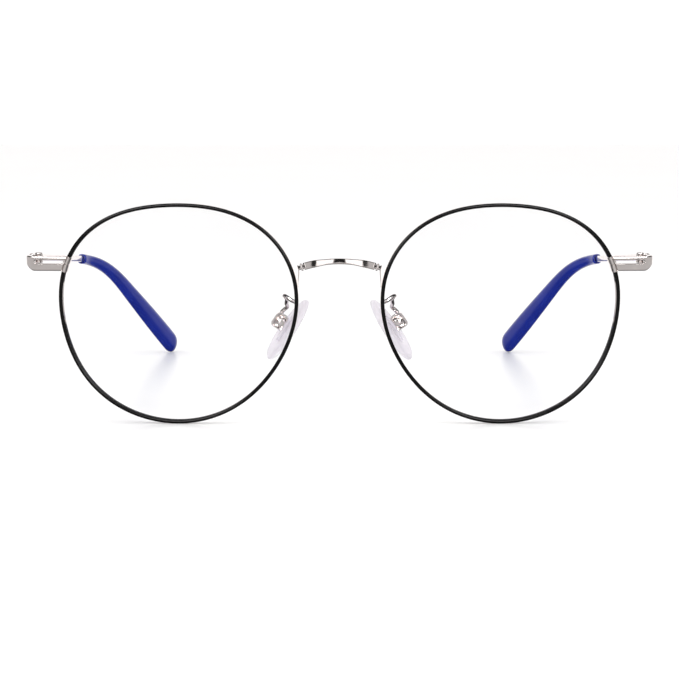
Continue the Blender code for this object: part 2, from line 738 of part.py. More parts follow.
def pad_arm_foot():
    """The soldered foot behind the eyewire."""
    wide, tall, deep = ARM_FOOT
    half = tall / 2 / line_tangent(ARM_ANGLE)[1]
    front = WIRE_DEPTH + SOLDER_GAP
    corners = ((-wide / 2, front), (wide / 2, front), (wide / 2, front + deep), (-wide / 2, front + deep))
    angles = (ARM_ANGLE - half, ARM_ANGLE, ARM_ANGLE + half)
    return loft([[rim_point(angle, out, depth) for out, depth in corners] for angle in angles])


# Temple


MOUTH_AT = TEMPLE_LENGTH - SLEEVE_LENGTH
BENDS_AT = MOUTH_AT - BEND_LEAD


def temple_line():
    """(length, point, direction) at every step along the temple, from the hinge."""
    place = Vector((SIDE_X - TEMPLE_THICKNESS / 2, HINGE_Y + BUTT_GAP / 2, CLOSING_LEVEL + TEMPLE_LEVEL))
    line = []
    for k in range(round(TEMPLE_LENGTH / TEMPLE_STEP) + 1):
        length = k * TEMPLE_STEP
        drop = TEMPLE_SLOPE + (DROP_ANGLE - TEMPLE_SLOPE) * ease((length - BENDS_AT) / DROP_RUN)
        inward = INWARD_ANGLE * ease((length - BENDS_AT) / INWARD_RUN)
        heading = Vector(
            (
                -math.cos(drop) * math.sin(inward),
                math.cos(drop) * math.cos(inward),
                -math.sin(drop),
            )
        )
        line.append((length, place.copy(), heading))
        place += heading * TEMPLE_STEP
    return line


TEMPLE_LINE = temple_line()


def temple_ring(length, tall, thick, sides, squareness=1.0):
    """An oval section of the temple: half its height and half its thickness."""
    index = min(round(length / TEMPLE_STEP), len(TEMPLE_LINE) - 1)
    at, place, heading = TEMPLE_LINE[index]
    place = place + heading * (length - at)
    lateral = heading.cross(Vector((0, 0, 1))).normalized()
    up = lateral.cross(heading)
    ring = []
    for i in range(sides):
        turn = 2 * math.pi * (i + 0.5) / sides
        cosine, sine = math.cos(turn), math.sin(turn)
        across = math.copysign(abs(cosine) ** squareness, cosine)
        upward = math.copysign(abs(sine) ** squareness, sine)
        ring.append(place + lateral * (across * thick) + up * (upward * tall))
    return ring


STRIP_HALF = (TEMPLE_HEIGHT / 2, TEMPLE_THICKNESS / 2)
CORE_HALF = (WIRE_CORE_RADIUS, WIRE_CORE_RADIUS)


def temple_core():
    """The strip, cut square at the hinge, that turns into a round wire inside the sleeve."""
    butt = []
    for point in temple_ring(0, *STRIP_HALF, 12, STRIP_SQUARENESS):
        butt.append(Vector((point.x, HINGE_Y + BUTT_GAP / 2, point.z)))
    rings = [butt]
    for share in (0.04, 0.25, 0.5, 0.75, 1.0):
        rings.append(temple_ring((MOUTH_AT - MM) * share, *STRIP_HALF, 12, STRIP_SQUARENESS))
    rings.append(temple_ring(MOUTH_AT + MOUTH_RECESS / 2, *CORE_HALF, 12))
    end = TEMPLE_LENGTH - WIRE_CORE_END
    start = MOUTH_AT + MOUTH_RECESS
    steps = 16
    for step in range(steps + 1):
        rings.append(temple_ring(start + (end - start) * step / steps, *CORE_HALF, 12))
    return loft(rings)


def sleeve_half(length):
    """Half the height and half the thickness of the sleeve at a length from the hinge."""
    growth = ease((length - MOUTH_AT) / SLEEVE_GROWTH)
    return tuple(a + (b - a) * growth for a, b in zip(MOUTH_HALF, TIP_HALF))


def sleeve():
    """The sleeve: round at its mouth, flatter and taller to its tip, hollow for the wire."""
    sides = 14
    rings = []
    steps = 18
    body = SLEEVE_LENGTH - BLUNT_LENGTH
    for step in range(steps + 1):
        length = MOUTH_AT + body * step / steps
        rings.append(temple_ring(length, *sleeve_half(length), sides, SLEEVE_SQUARENESS))
    for share, size in TIP_RINGS:
        length = MOUTH_AT + body + BLUNT_LENGTH * share
        tall, thick = sleeve_half(length)
        rings.append(temple_ring(length, tall * size, thick * size, sides, SLEEVE_SQUARENESS))
    channel = [half + CHANNEL_GAP for half in CORE_HALF]
    recess = [half + RECESS_GAP for half in STRIP_HALF]
    end = TEMPLE_LENGTH - WIRE_CORE_END + CHANNEL_GAP
    floor = MOUTH_AT + MOUTH_RECESS
    inner_steps = 14
    for step in range(inner_steps, -1, -1):
        length = floor + RECESS_TAPER + (end - floor - RECESS_TAPER) * step / inner_steps
        rings.append(temple_ring(length, *channel, sides))
    rings.append(temple_ring(floor, *recess, sides, 0.8))
    rings.append(temple_ring(MOUTH_AT, *recess, sides, 0.8))
    points, faces = loft(rings)
    return joined_ends(points, faces, sides, len(rings), steps + len(TIP_RINGS))


def joined_ends(points, faces, sides, ring_count, tip_ring):
    """Closes the sleeve's tip and the blind end of its channel, and joins its mouth to the channel."""
    tip = tip_ring * sides
    faces = [face for face in faces[:-2] if face[0] // sides != tip_ring]
    faces.append(tuple(range(tip, tip + sides)))
    blind = (tip_ring + 1) * sides
    faces.append(tuple(reversed(range(blind, blind + sides))))
    last = (ring_count - 1) * sides
    for i in range(sides):
        j = (i + 1) % sides
        faces.append((last + i, last + j, j, i))
    return points, faces


# Objects


def material(name):
    """The named finish as a Principled material."""
    found = bpy.data.materials.get(name)
    if found:
        return found
    colour, metallic, roughness, alpha = FINISHES[name]
    made = bpy.data.materials.new(name)
    made.use_nodes = True
    shader = made.node_tree.nodes["Principled BSDF"]
    shader.inputs["Base Color"].default_value = (*colour, 1.0)
    shader.inputs["Metallic"].default_value = metallic
    shader.inputs["Roughness"].default_value = roughness
    shader.inputs["Alpha"].default_value = alpha
    made.diffuse_color = (*colour, alpha)
    return made


def add_mesh(name, shape, side, holder):
    """An object under its holder, made from a shape of the +X side, mirrored where side is -1."""
    points, faces = shape
    origin = holder["centre"]
    mesh = bpy.data.meshes.new(name)
    placed = [(side * point.x - origin[0], point.y - origin[1], point.z - origin[2]) for point in points]
    mesh.from_pydata(placed, [], faces)
    drawing = bmesh.new()
    drawing.from_mesh(mesh)
    bmesh.ops.recalc_face_normals(drawing, faces=drawing.faces)
    drawing.to_mesh(mesh)
    drawing.free()
    made = bpy.data.objects.new(name, mesh)
    bpy.context.scene.collection.objects.link(made)
    made.parent = holder
    return made


def add_piece(name, shape, finish, holder, side=1, joins=(), cuts=()):
    """One sub-part: its shape, with the helper shapes that are joined to it and cut from it."""
    piece = add_mesh(name, shape, side, holder)
    piece.data.materials.append(material(finish))
    helpers = [("UNION", helper) for helper in joins] + [("DIFFERENCE", helper) for helper in cuts]
    for number, (operation, helper_shape) in enumerate(helpers, 1):
        helper = add_mesh(f"{name}_helper_{number}", helper_shape, side, holder)
        helper.hide_render = True
        helper.display_type = "WIRE"
        boolean = piece.modifiers.new(f"{operation.lower()}_{number}", "BOOLEAN")
        boolean.operation = operation
        boolean.solver = "EXACT"
        boolean.object = helper
    piece.data.shade_smooth()
    piece.data.set_sharp_from_angle(angle=math.radians(35))
    return piece


def add_holder(name, centre, parent=None):
    """An empty on a joint's axis, or at the origin; it remembers its place in the drawing."""
    holder = bpy.data.objects.new(name, None)
    bpy.context.scene.collection.objects.link(holder)
    holder["centre"] = tuple(centre)
    holder.empty_display_size = 0.005
    above = parent["centre"] if parent else (0, 0, 0)
    holder.location = Vector(centre) - Vector(above)
    holder.parent = parent
    return holder


def mirrored(point, side):
    return Vector((side * point.x, point.y, point.z))


def add_front(front, side, label):
    """The fixed pieces of one side of the front."""
    metal = "polished_silver"
    lower, _, upper = knuckle_levels()
    add_piece(f"eyewire_{label}", eyewire(), "black_enamel", front, side)
    add_piece(f"lens_{label}", lens(), "clear_lens", front, side)
    add_piece(f"closing_block_upper_{label}", closing_block(-1), metal, front, side, cuts=[rim_screw_hole()])
    add_piece(f"closing_block_lower_{label}", closing_block(1), metal, front, side, cuts=[rim_screw_hole()])
    add_piece(f"rim_screw_{label}", rim_screw(), metal, front, side)
    add_piece(f"endpiece_{label}", endpiece(), metal, front, side, cuts=[endpiece_slot()])
    add_piece(
        f"hinge_leaf_front_{label}",
        leaf_plate(-1),
        metal,
        front,
        side,
        joins=[
            barrel(*lower, HOLE_GAP),
            leaf_web(-1, lower),
            barrel(*upper, HOLE_GAP),
            leaf_web(-1, upper),
        ],
    )
    add_piece(f"hinge_screw_{label}", hinge_screw(), metal, front, side)
    add_piece(f"pad_arm_{label}", pad_arm(), metal, front, side, joins=[pad_arm_foot()])
    add_piece(f"pad_box_{label}", pad_box(), metal, front, side, cuts=[pad_hole(HOLE_GAP)])
    add_piece(f"pad_screw_{label}", pad_screw(), metal, front, side, cuts=[pad_screw_slot()])


def add_temple(front, side, label):
    """One temple, which folds about its hinge's axis."""
    metal = "polished_silver"
    middle = knuckle_levels()[1]
    pivot = add_holder(f"temple_{label}_pivot", mirrored(HINGE_AT, side), front)
    leaf_joins = [barrel(*middle, RUNNING_GAP), leaf_web(1, middle)]
    add_piece(f"hinge_leaf_temple_{label}", leaf_plate(1), metal, pivot, side, joins=leaf_joins)
    add_piece(f"temple_core_{label}", temple_core(), metal, pivot, side)
    add_piece(f"temple_sleeve_{label}", sleeve(), "blue_sleeve", pivot, side)


def add_pad(front, side, label):
    """One nose pad, which rocks on its screw."""
    pivot = add_holder(f"pad_{label}_pivot", mirrored(PAD_AT, side), front)
    add_piece(f"nose_pad_{label}", nose_pad(), "clear_silicone", pivot, side)
    add_piece(
        f"pad_insert_{label}",
        pad_insert_plate(),
        "clear_insert",
        pivot,
        side,
        joins=[pad_lug()],
        cuts=[pad_hole(RUNNING_GAP)],
    )


def centre_on_floor(front):
    """Moves the whole object so that its box stands on the floor, centred over the origin."""
    bpy.context.view_layer.update()
    points = []
    for piece in bpy.context.scene.objects:
        if piece.type == "MESH" and not piece.hide_render:
            points += [piece.matrix_world @ vertex.co for vertex in piece.data.vertices]
    middle = [(min(p[i] for p in points) + max(p[i] for p in points)) / 2 for i in range(3)]
    front.matrix_world = Matrix.Translation((-middle[0], -middle[1], -min(p.z for p in points)))


def main():
    for old in list(bpy.data.objects):
        bpy.data.objects.remove(old, do_unlink=True)
    front = add_holder("front", (0, 0, 0))
    add_piece("bridge", bridge_arch(), "polished_silver", front, joins=[bridge_foot(1), bridge_foot(-1)])
    for side, label in ((1, "left"), (-1, "right")):
        add_front(front, side, label)
        add_temple(front, side, label)
        add_pad(front, side, label)
    centre_on_floor(front)


main()
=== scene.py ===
"""Looks of the round blue light glasses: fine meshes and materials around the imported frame.

Metres, +Z up, the front faces -Y and +X is the wearer's left. Each piece is drawn for the +X side
and mirrored for the other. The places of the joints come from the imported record.
"""

import json
import math

import bmesh
import bpy
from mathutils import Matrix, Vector


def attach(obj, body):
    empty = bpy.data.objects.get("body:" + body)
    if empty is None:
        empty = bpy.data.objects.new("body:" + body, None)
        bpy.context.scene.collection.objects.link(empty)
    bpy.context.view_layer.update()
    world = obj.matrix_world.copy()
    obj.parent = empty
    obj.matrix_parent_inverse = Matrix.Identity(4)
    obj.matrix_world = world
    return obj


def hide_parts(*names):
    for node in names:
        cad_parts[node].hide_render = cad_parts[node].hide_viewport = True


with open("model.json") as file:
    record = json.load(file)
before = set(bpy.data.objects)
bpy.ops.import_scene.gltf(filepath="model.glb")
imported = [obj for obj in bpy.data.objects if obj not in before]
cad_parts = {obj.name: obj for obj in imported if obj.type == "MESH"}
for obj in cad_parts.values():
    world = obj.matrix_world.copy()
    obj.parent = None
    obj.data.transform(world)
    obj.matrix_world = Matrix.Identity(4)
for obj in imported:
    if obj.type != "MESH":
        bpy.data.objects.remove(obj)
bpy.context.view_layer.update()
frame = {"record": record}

MM = 0.001
BACKWARD = Vector((0, 1, 0))

# The front, as designed: box of the eyewire's middle line, wrap and outline
LENS_WIDTH = 51.4 * MM
LENS_HEIGHT = 47.2 * MM
BRIDGE_GAP = 18.6 * MM
WRAP = math.radians(3.0)
OUTLINE_WAVES = ((2, 0.0036, 0.0), (3, 0.0312, 0.0056), (4, 0.0, -0.0097), (5, -0.0007, 0.003))
HALF_FACE = 0.43 * MM
WIRE_DEPTH = 1.7 * MM
GROOVE_MIDDLE = WIRE_DEPTH / 2
GROOVE_HALF = 0.55 * MM
GROOVE_DEPTH = 0.40 * MM
CLOSING_ANGLE = 156.1
BLOCK_LENGTH = 1.60 * MM
SOLDER_GAP = 0.08 * MM
SPLIT_HALF = 0.075 * MM

JOINTS = {joint["name"]: joint for joint in frame["record"]["behaviour"]["joints"]}
HINGE_POS = Vector(JOINTS["temple_left_fold"]["pos_m"])
PAD_POS = Vector(JOINTS["pad_left_rock"]["pos_m"])
PAD_BACK = 8.0 * MM
FRONT_Y = PAD_POS.y - PAD_BACK


# Shapes: a shape is a list of points and a list of faces.


def loft(rings, closed=False):
    """Joins rings of equally many points, and caps the two ends unless the rings close on themselves."""
    count = len(rings[0])
    points = [point for ring in rings for point in ring]
    faces = []
    for k in range(len(rings) if closed else len(rings) - 1):
        low = k * count
        high = (k + 1) % len(rings) * count
        for i in range(count):
            j = (i + 1) % count
            faces.append((low + i, low + j, high + j, high + i))
    if not closed:
        last = (len(rings) - 1) * count
        faces.append(tuple(reversed(range(count))))
        faces.append(tuple(range(last, last + count)))
    return points, faces


def extruded(outline, place, start, end):
    """A prism on an outline of (a, b) pairs; place turns (a, b, c) into a point."""
    return loft([[place(a, b, c) for a, b in outline] for c in (start, end)])


def turned(profile, centre, axis, side_axis, sides=32):
    """A solid turned about an axis from a profile of (radius, height) pairs."""
    axis = axis.normalized()
    first = (side_axis - axis * side_axis.dot(axis)).normalized()
    second = axis.cross(first)
    rings = []
    for radius, height in profile:
        ring = []
        for i in range(sides):
            turn = 2 * math.pi * i / sides
            ring.append(centre + axis * height + (first * math.cos(turn) + second * math.sin(turn)) * radius)
        rings.append(ring)
    return loft(rings)


def smooth_path(knots, steps):
    """Points along a Catmull-Rom curve through the knots."""
    ends = [2 * knots[0] - knots[1], *knots, 2 * knots[-1] - knots[-2]]
    path = []
    for a, b, c, d in zip(ends, ends[1:], ends[2:], ends[3:]):
        for step in range(steps):
            t = step / steps
            squared = (2 * a - 5 * b + 4 * c - d) * t**2
            cubed = (3 * b - a - 3 * c + d) * t**3
            path.append(0.5 * (2 * b + (c - a) * t + squared + cubed))
    path.append(knots[-1].copy())
    return path


def rod(path, radius, sides=20):
    """A round rod along a path, its section carried along without twist."""
    rings = []
    across = (path[1] - path[0]).normalized().orthogonal()
    for k, point in enumerate(path):
        along = (path[min(k + 1, len(path) - 1)] - path[max(k - 1, 0)]).normalized()
        across = (across - along * across.dot(along)).normalized()
        other = along.cross(across)
        turns = [2 * math.pi * i / sides for i in range(sides)]
        rings.append([point + (across * math.cos(turn) + other * math.sin(turn)) * radius for turn in turns])
    return loft(rings)


def ease(share):
    """A smooth step from 0 to 1."""
    share = min(max(share, 0.0), 1.0)
    return share * share * (3 - 2 * share)


def rounded(low, high, radius, steps=3):
    """The outline of a rectangle with round corners, as (a, b) pairs."""
    outline = []
    corners = ((high[0], high[1], 0), (low[0], high[1], 90), (low[0], low[1], 180), (high[0], low[1], 270))
    for a, b, first in corners:
        inward_a = radius if a == low[0] else -radius
        inward_b = radius if b == low[1] else -radius
        for step in range(steps + 1):
            turn = math.radians(first + 90 * step / steps)
            outline.append((a + inward_a + radius * math.cos(turn), b + inward_b + radius * math.sin(turn)))
    return outline


# Places on the front


def raw_outline(angle):
    """The eyewire's middle line before it is fitted to its box; 0 is nasal and 90 the top."""
    turn = math.radians(angle)
    radius = 1.0
    for order, sine, cosine in OUTLINE_WAVES:
        radius += sine * math.sin(order * turn) + cosine * math.cos(order * turn)
    return radius * math.cos(turn), radius * math.sin(turn)


RAW = [raw_outline(angle / 2) for angle in range(720)]
RAW_NASAL, RAW_TEMPORAL = max(x for x, z in RAW), min(x for x, z in RAW)
RAW_BOTTOM, RAW_TOP = min(z for x, z in RAW), max(z for x, z in RAW)


def middle_line(angle):
    x, z = raw_outline(angle)
    out = (RAW_NASAL - x) / (RAW_NASAL - RAW_TEMPORAL) * LENS_WIDTH
    up = (z - RAW_BOTTOM) / (RAW_TOP - RAW_BOTTOM) * LENS_HEIGHT
    return Vector((out, up + HALF_FACE))


def line_tangent(angle):
    run = middle_line(angle + 0.5) - middle_line(angle - 0.5)
    return run.normalized(), run.length


def in_front(out, up, depth):
    """A point of the front: out from the nasal edge of the box, up from the floor, back by depth."""
    sine, cosine = math.sin(WRAP), math.cos(WRAP)
    return Vector((BRIDGE_GAP / 2 + out * cosine - depth * sine, FRONT_Y + out * sine + depth * cosine, up))


def rim_point(angle, outward, depth):
    tangent, _ = line_tangent(angle)
    flat = middle_line(angle) + Vector((tangent.y, -tangent.x)) * -outward
    return in_front(flat.x, flat.y, depth)


CLOSING_LINE = middle_line(CLOSING_ANGLE)
DEGREE = line_tangent(CLOSING_ANGLE)[1]
WIRE_START = (SPLIT_HALF + BLOCK_LENGTH + SOLDER_GAP) / DEGREE


# Materials


def new_material(name, **inputs):
    """A Principled material; each keyword is a socket's name with its spaces as underscores."""
    made = bpy.data.materials.new(name)
    made.use_nodes = True
    shader = made.node_tree.nodes["Principled BSDF"]
    for key, value in inputs.items():
        shader.inputs[key.replace("_", " ")].default_value = value
    return made, made.node_tree, shader


def add_noise(tree, scale, detail, low, high, stretch=(1, 1, 1)):
    """Noise in object space, in cycles per metre, mapped to a range of values."""
    place = tree.nodes.new("ShaderNodeTexCoord")
    mapping = tree.nodes.new("ShaderNodeMapping")
    mapping.inputs["Scale"].default_value = stretch
    noise = tree.nodes.new("ShaderNodeTexNoise")
    noise.inputs["Scale"].default_value = scale
    noise.inputs["Detail"].default_value = detail
    spread = tree.nodes.new("ShaderNodeMapRange")
    spread.inputs["From Min"].default_value = 0.3
    spread.inputs["From Max"].default_value = 0.7
    spread.inputs["To Min"].default_value = low
    spread.inputs["To Max"].default_value = high
    tree.links.new(place.outputs["Object"], mapping.inputs["Vector"])
    tree.links.new(mapping.outputs["Vector"], noise.inputs["Vector"])
    tree.links.new(noise.outputs["Fac"], spread.inputs["Value"])
    return spread.outputs["Result"]


def add_colours(tree, shader, factor, first, second):
    """Drives the base colour between two colours."""
    ramp = tree.nodes.new("ShaderNodeValToRGB")
    ramp.color_ramp.elements[0].color = (*first, 1)
    ramp.color_ramp.elements[1].color = (*second, 1)
    tree.links.new(factor, ramp.inputs["Fac"])
    tree.links.new(ramp.outputs["Color"], shader.inputs["Base Color"])


def add_bump(tree, shader, height, strength, distance):
    bump = tree.nodes.new("ShaderNodeBump")
    bump.inputs["Strength"].default_value = strength
    bump.inputs["Distance"].default_value = distance
    tree.links.new(height, bump.inputs["Height"])
    tree.links.new(bump.outputs["Normal"], shader.inputs["Normal"])


def silver_material():
    """Polished plating: faint cloudiness and hairline marks along the piece."""
    made, tree, shader = new_material("polished_silver", Metallic=1.0)
    add_colours(tree, shader, add_noise(tree, 260, 3, 0, 1), (0.76, 0.715, 0.70), (0.86, 0.815, 0.80))
    tree.links.new(add_noise(tree, 900, 4, 0.02, 0.06), shader.inputs["Roughness"])
    add_bump(tree, shader, add_noise(tree, 1500, 2, 0, 1), 0.02, 0.000004)
    return made


def enamel_material():
    """Black enamel fired on the front of the eyewire."""
    made, tree, shader = new_material("black_enamel", Specular_IOR_Level=0.16)
    add_colours(tree, shader, add_noise(tree, 400, 2, 0, 1), (0.0015, 0.0013, 0.0014), (0.003, 0.0028, 0.003))
    tree.links.new(add_noise(tree, 700, 3, 0.12, 0.20), shader.inputs["Roughness"])
    add_bump(tree, shader, add_noise(tree, 1600, 2, 0, 1), 0.08, 0.00002)
    return made


def sleeve_material():
    """Royal-blue acetate: a deep colour with faint clouds and a polished skin."""
    made, tree, shader = new_material("blue_sleeve", Specular_IOR_Level=0.3)
    add_colours(tree, shader, add_noise(tree, 120, 3, 0, 1), (0.004, 0.012, 0.20), (0.008, 0.020, 0.26))
    tree.links.new(add_noise(tree, 500, 3, 0.16, 0.26), shader.inputs["Roughness"])
    add_bump(tree, shader, add_noise(tree, 900, 2, 0, 1), 0.05, 0.00003)
    return made


def lens_material():
    """A clear resin lens with an anti-reflection coat."""
    made, tree, shader = new_material("clear_lens", Alpha=0.014, Roughness=0.02, IOR=1.5)
    add_colours(tree, shader, add_noise(tree, 30, 1, 0, 1), (0.06, 0.11, 0.30), (0.08, 0.14, 0.36))
    made.diffuse_color = (0.9, 0.95, 1.0, 0.1)
    return made


def silicone_material():
    """Clear soft silicone with a satin skin."""
    made, tree, shader = new_material("clear_silicone", Transmission_Weight=0.5, IOR=1.41, Alpha=0.62)
    add_colours(tree, shader, add_noise(tree, 200, 2, 0, 1), (0.88, 0.83, 0.90), (0.94, 0.89, 0.96))
    tree.links.new(add_noise(tree, 600, 3, 0.30, 0.42), shader.inputs["Roughness"])
    add_bump(tree, shader, add_noise(tree, 800, 2, 0, 1), 0.06, 0.00004)
    return made


def insert_material():
    """Clear hard plastic of the insert."""
    made, tree, shader = new_material("clear_insert", Transmission_Weight=0.5, IOR=1.41, Alpha=0.35)
    add_colours(tree, shader, add_noise(tree, 200, 2, 0, 1), (0.88, 0.84, 0.90), (0.94, 0.90, 0.96))
    tree.links.new(add_noise(tree, 700, 3, 0.10, 0.20), shader.inputs["Roughness"])
    return made


SILVER = silver_material()
ENAMEL = enamel_material()
BLUE = sleeve_material()
CLEAR = lens_material()
SILICONE = silicone_material()
INSERT = insert_material()


# Objects


def mesh_object(name, shape, side):
    """A mesh from a shape of the +X side, mirrored where side is -1, with its normals outward."""
    points, faces = shape
    mesh = bpy.data.meshes.new(name)
    mesh.from_pydata([(side * point.x, point.y, point.z) for point in points], [], faces)
    drawing = bmesh.new()
    drawing.from_mesh(mesh)
    bmesh.ops.recalc_face_normals(drawing, faces=drawing.faces)
    drawing.to_mesh(mesh)
    drawing.free()
    made = bpy.data.objects.new(name, mesh)
    bpy.context.scene.collection.objects.link(made)
    return made


def combined(piece, name, side, joins, cuts):
    """Joins shapes to a piece and cuts shapes from it, and keeps the result as its mesh."""
    helpers = []
    for operation, shapes in (("UNION", joins), ("DIFFERENCE", cuts)):
        for shape in shapes:
            helper = mesh_object(f"{name}_tool_{len(helpers)}", shape, side)
            helpers.append(helper)
            boolean = piece.modifiers.new(operation.lower(), "BOOLEAN")
            boolean.operation = operation
            boolean.solver = "EXACT"
            boolean.object = helper
    graph = bpy.context.evaluated_depsgraph_get()
    result = bpy.data.meshes.new_from_object(piece.evaluated_get(graph))
    piece.modifiers.clear()
    piece.data = result
    for helper in helpers:
        bpy.data.objects.remove(helper, do_unlink=True)


def piece(name, shape, finish, slot, body, node, side=1, joins=(), cuts=(), bevel=0.0, sharp=40):
    """One finished piece that rides on a body and stands for a CAD node."""
    made = mesh_object(name, shape, side)
    if joins or cuts:
        combined(made, name, side, joins, cuts)
    made.data.materials.clear()
    made.data.materials.append(finish)
    if bevel:
        rounding = made.modifiers.new("edges", "BEVEL")
        rounding.width = bevel
        rounding.segments = 2
        rounding.limit_method = "ANGLE"
        rounding.angle_limit = math.radians(38)
        rounding.use_clamp_overlap = True
    made.data.shade_smooth()
    made.data.set_sharp_from_angle(angle=math.radians(sharp))
    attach(made, body)
    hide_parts(node)
    return made


# The front


def wire_section():
    """The eyewire's section: a rounded enamelled face, plain sides and the groove."""
    half = HALF_FACE - 0.015 * MM
    crown = 0.24 * MM
    back = 0.12 * MM
    section = []
    for step in range(13):
        turn = math.pi * step / 12
        section.append((half * math.cos(turn), crown * (1 - math.sin(turn))))
    section += [
        (-half, GROOVE_MIDDLE - GROOVE_HALF),
        (-half + GROOVE_DEPTH, GROOVE_MIDDLE),
        (-half, GROOVE_MIDDLE + GROOVE_HALF),
        (-half, WIRE_DEPTH - back),
        (-half + back, WIRE_DEPTH),
        (half - back, WIRE_DEPTH),
        (half, WIRE_DEPTH - back),
    ]
    return section


def eyewire():
    start = CLOSING_ANGLE + WIRE_START
    end = CLOSING_ANGLE + 360 - WIRE_START
    steps = 260
    angles = [start + (end - start) * step / steps for step in range(steps + 1)]
    return loft([[rim_point(angle, out, depth) for out, depth in wire_section()] for angle in angles])


def enamel_front(made):
    """Gives the faces of the eyewire's rounded front the enamel."""
    made.data.materials.append(ENAMEL)
    count = len(wire_section())
    for face in made.data.polygons:
        corners = {index % count for index in face.vertices}
        if corners <= set(range(14)):
            face.material_index = 1


def lens():
    shoulder = -HALF_FACE - 0.12 * MM
    apex = -HALF_FACE + GROOVE_DEPTH - 0.10 * MM
    flank = GROOVE_HALF * (apex - shoulder) / GROOVE_DEPTH
    radius = (LENS_WIDTH + LENS_HEIGHT) / 4
    curve = 131.5 * MM
    dome = curve - math.sqrt(curve**2 - radius**2)
    thickness = 1.6 * MM
    angles = [3 * k for k in range(120)]
    middle = in_front(LENS_WIDTH / 2, LENS_HEIGHT / 2 + HALF_FACE, 0)
    back_way = in_front(0, 0, 1) - in_front(0, 0, 0)

    def face_ring(share, depth):
        edges = [rim_point(angle, shoulder, 0) for angle in angles]
        bulge = back_way * (depth - dome * (1 - share**2))
        return [middle + (edge - middle) * share + bulge for edge in edges]

    front, back = GROOVE_MIDDLE - thickness / 2, GROOVE_MIDDLE + thickness / 2
    shares = [k / 10 for k in range(1, 11)]
    rings = [face_ring(share, front) for share in shares]
    bevel = ((shoulder, GROOVE_MIDDLE - flank), (apex, GROOVE_MIDDLE), (shoulder, GROOVE_MIDDLE + flank))
    for out, depth in bevel:
        rings.append([rim_point(angle, out, depth) for angle in angles])
    rings += [face_ring(share, back) for share in reversed(shares)]
    points, faces = loft(rings)
    faces = faces[:-2]
    count = len(angles)
    for depth, first in ((front, 0), (back, (len(rings) - 1) * count)):
        centre = len(points)
        points.append(middle + back_way * (depth - dome))
        faces += [(centre, first + i, first + (i + 1) % count) for i in range(count)]
    return points, faces


ENDPIECE_THICKNESS = 1.1 * MM
BLOCK_DEPTH = 3.2 * MM
BLOCK_OUT = 0.95 * MM


def closing_block(direction):
    """One half of the closing block, whose front is the plain band between the eyewire's ends."""
    shelf = ENDPIECE_THICKNESS + SOLDER_GAP
    section = wire_section()[:13] + [
        (-HALF_FACE, GROOVE_MIDDLE - GROOVE_HALF),
        (-HALF_FACE + GROOVE_DEPTH, GROOVE_MIDDLE),
        (-HALF_FACE, GROOVE_MIDDLE + GROOVE_HALF),
        (-HALF_FACE, BLOCK_DEPTH),
        (BLOCK_OUT, BLOCK_DEPTH),
        (BLOCK_OUT, shelf),
        (HALF_FACE, shelf),
    ]
    lengths = [SPLIT_HALF + BLOCK_LENGTH * step / 6 for step in range(7)]
    angles = [CLOSING_ANGLE + direction * length / DEGREE for length in lengths]
    return loft([[rim_point(angle, out, depth) for out, depth in section] for angle in angles])


SCREW_RADIUS = 0.45 * MM
RIM_HEAD = 0.62 * MM
RIM_SCREW_AT = rim_point(CLOSING_ANGLE, 0.20 * MM, WIRE_DEPTH + RIM_HEAD + SOLDER_GAP)
RIM_SCREW_AXIS = rim_point(CLOSING_ANGLE + 1, 0, 0) - rim_point(CLOSING_ANGLE - 1, 0, 0)


def rim_screw():
    under = SPLIT_HALF + BLOCK_LENGTH + SOLDER_GAP
    head = 0.4 * MM
    profile = [(SCREW_RADIUS, -under + SOLDER_GAP), (SCREW_RADIUS, under), (RIM_HEAD, under)]
    for step in range(6):
        turn = math.pi / 2 * step / 5
        radius = RIM_HEAD * (0.45 + 0.55 * math.cos(turn))
        profile.append((radius, under + head * (0.4 + 0.6 * math.sin(turn))))
    return turned(profile, RIM_SCREW_AT, RIM_SCREW_AXIS, BACKWARD)


def rim_screw_hole():
    radius = SCREW_RADIUS + 0.05 * MM
    return turned(((radius, -4 * MM), (radius, 4 * MM)), RIM_SCREW_AT, RIM_SCREW_AXIS, BACKWARD)


def rim_screw_slot():
    """The driver's slot across the rim screw's head."""
    axis = RIM_SCREW_AXIS.normalized()
    top = SPLIT_HALF + BLOCK_LENGTH + SOLDER_GAP + 0.4 * MM
    across = axis.cross(BACKWARD).normalized()
    half = 0.1 * MM

    def place(a, b, c):
        return RIM_SCREW_AT + axis * (top + c) + across * a + BACKWARD * b

    return extruded(((-half, -MM), (half, -MM), (half, MM), (-half, MM)), place, -0.18 * MM, 0.3 * MM)


# Endpiece and hinge
SIDE_X = BRIDGE_GAP / 2 + LENS_WIDTH * math.cos(WRAP) + 7.57 * MM
BEND = 2.1 * MM
BEND_X = SIDE_X - BEND
BEND_Y = FRONT_Y + (BEND + (BEND_X - BRIDGE_GAP / 2) * math.sin(WRAP)) / math.cos(WRAP)
LEVEL = CLOSING_LINE.y
BARREL = 0.95 * MM
HINGE_LOW = LEVEL + 0.035 * MM
HINGE_HIGH = HINGE_LOW + 1.9 * MM
INNER_X = SIDE_X - ENDPIECE_THICKNESS
BUTT_HALF = 0.06 * MM


def band_edge(level):
    """How far out the outer side of the band lies at a height."""
    tangent, _ = line_tangent(CLOSING_ANGLE)
    edge = CLOSING_LINE + Vector((-tangent.y, tangent.x)) * HALF_FACE
    return edge.x + (level - edge.y) * tangent.x / tangent.y


def strip_ring(outer, inward, bottom, top):
    """A strip's section with round corners."""
    ring = []
    for depth, level in rounded((0, bottom), (ENDPIECE_THICKNESS, top), 0.26 * MM, 4):
        place = outer(level) + inward * depth
        ring.append(Vector((place.x, place.y, level)))
    return ring


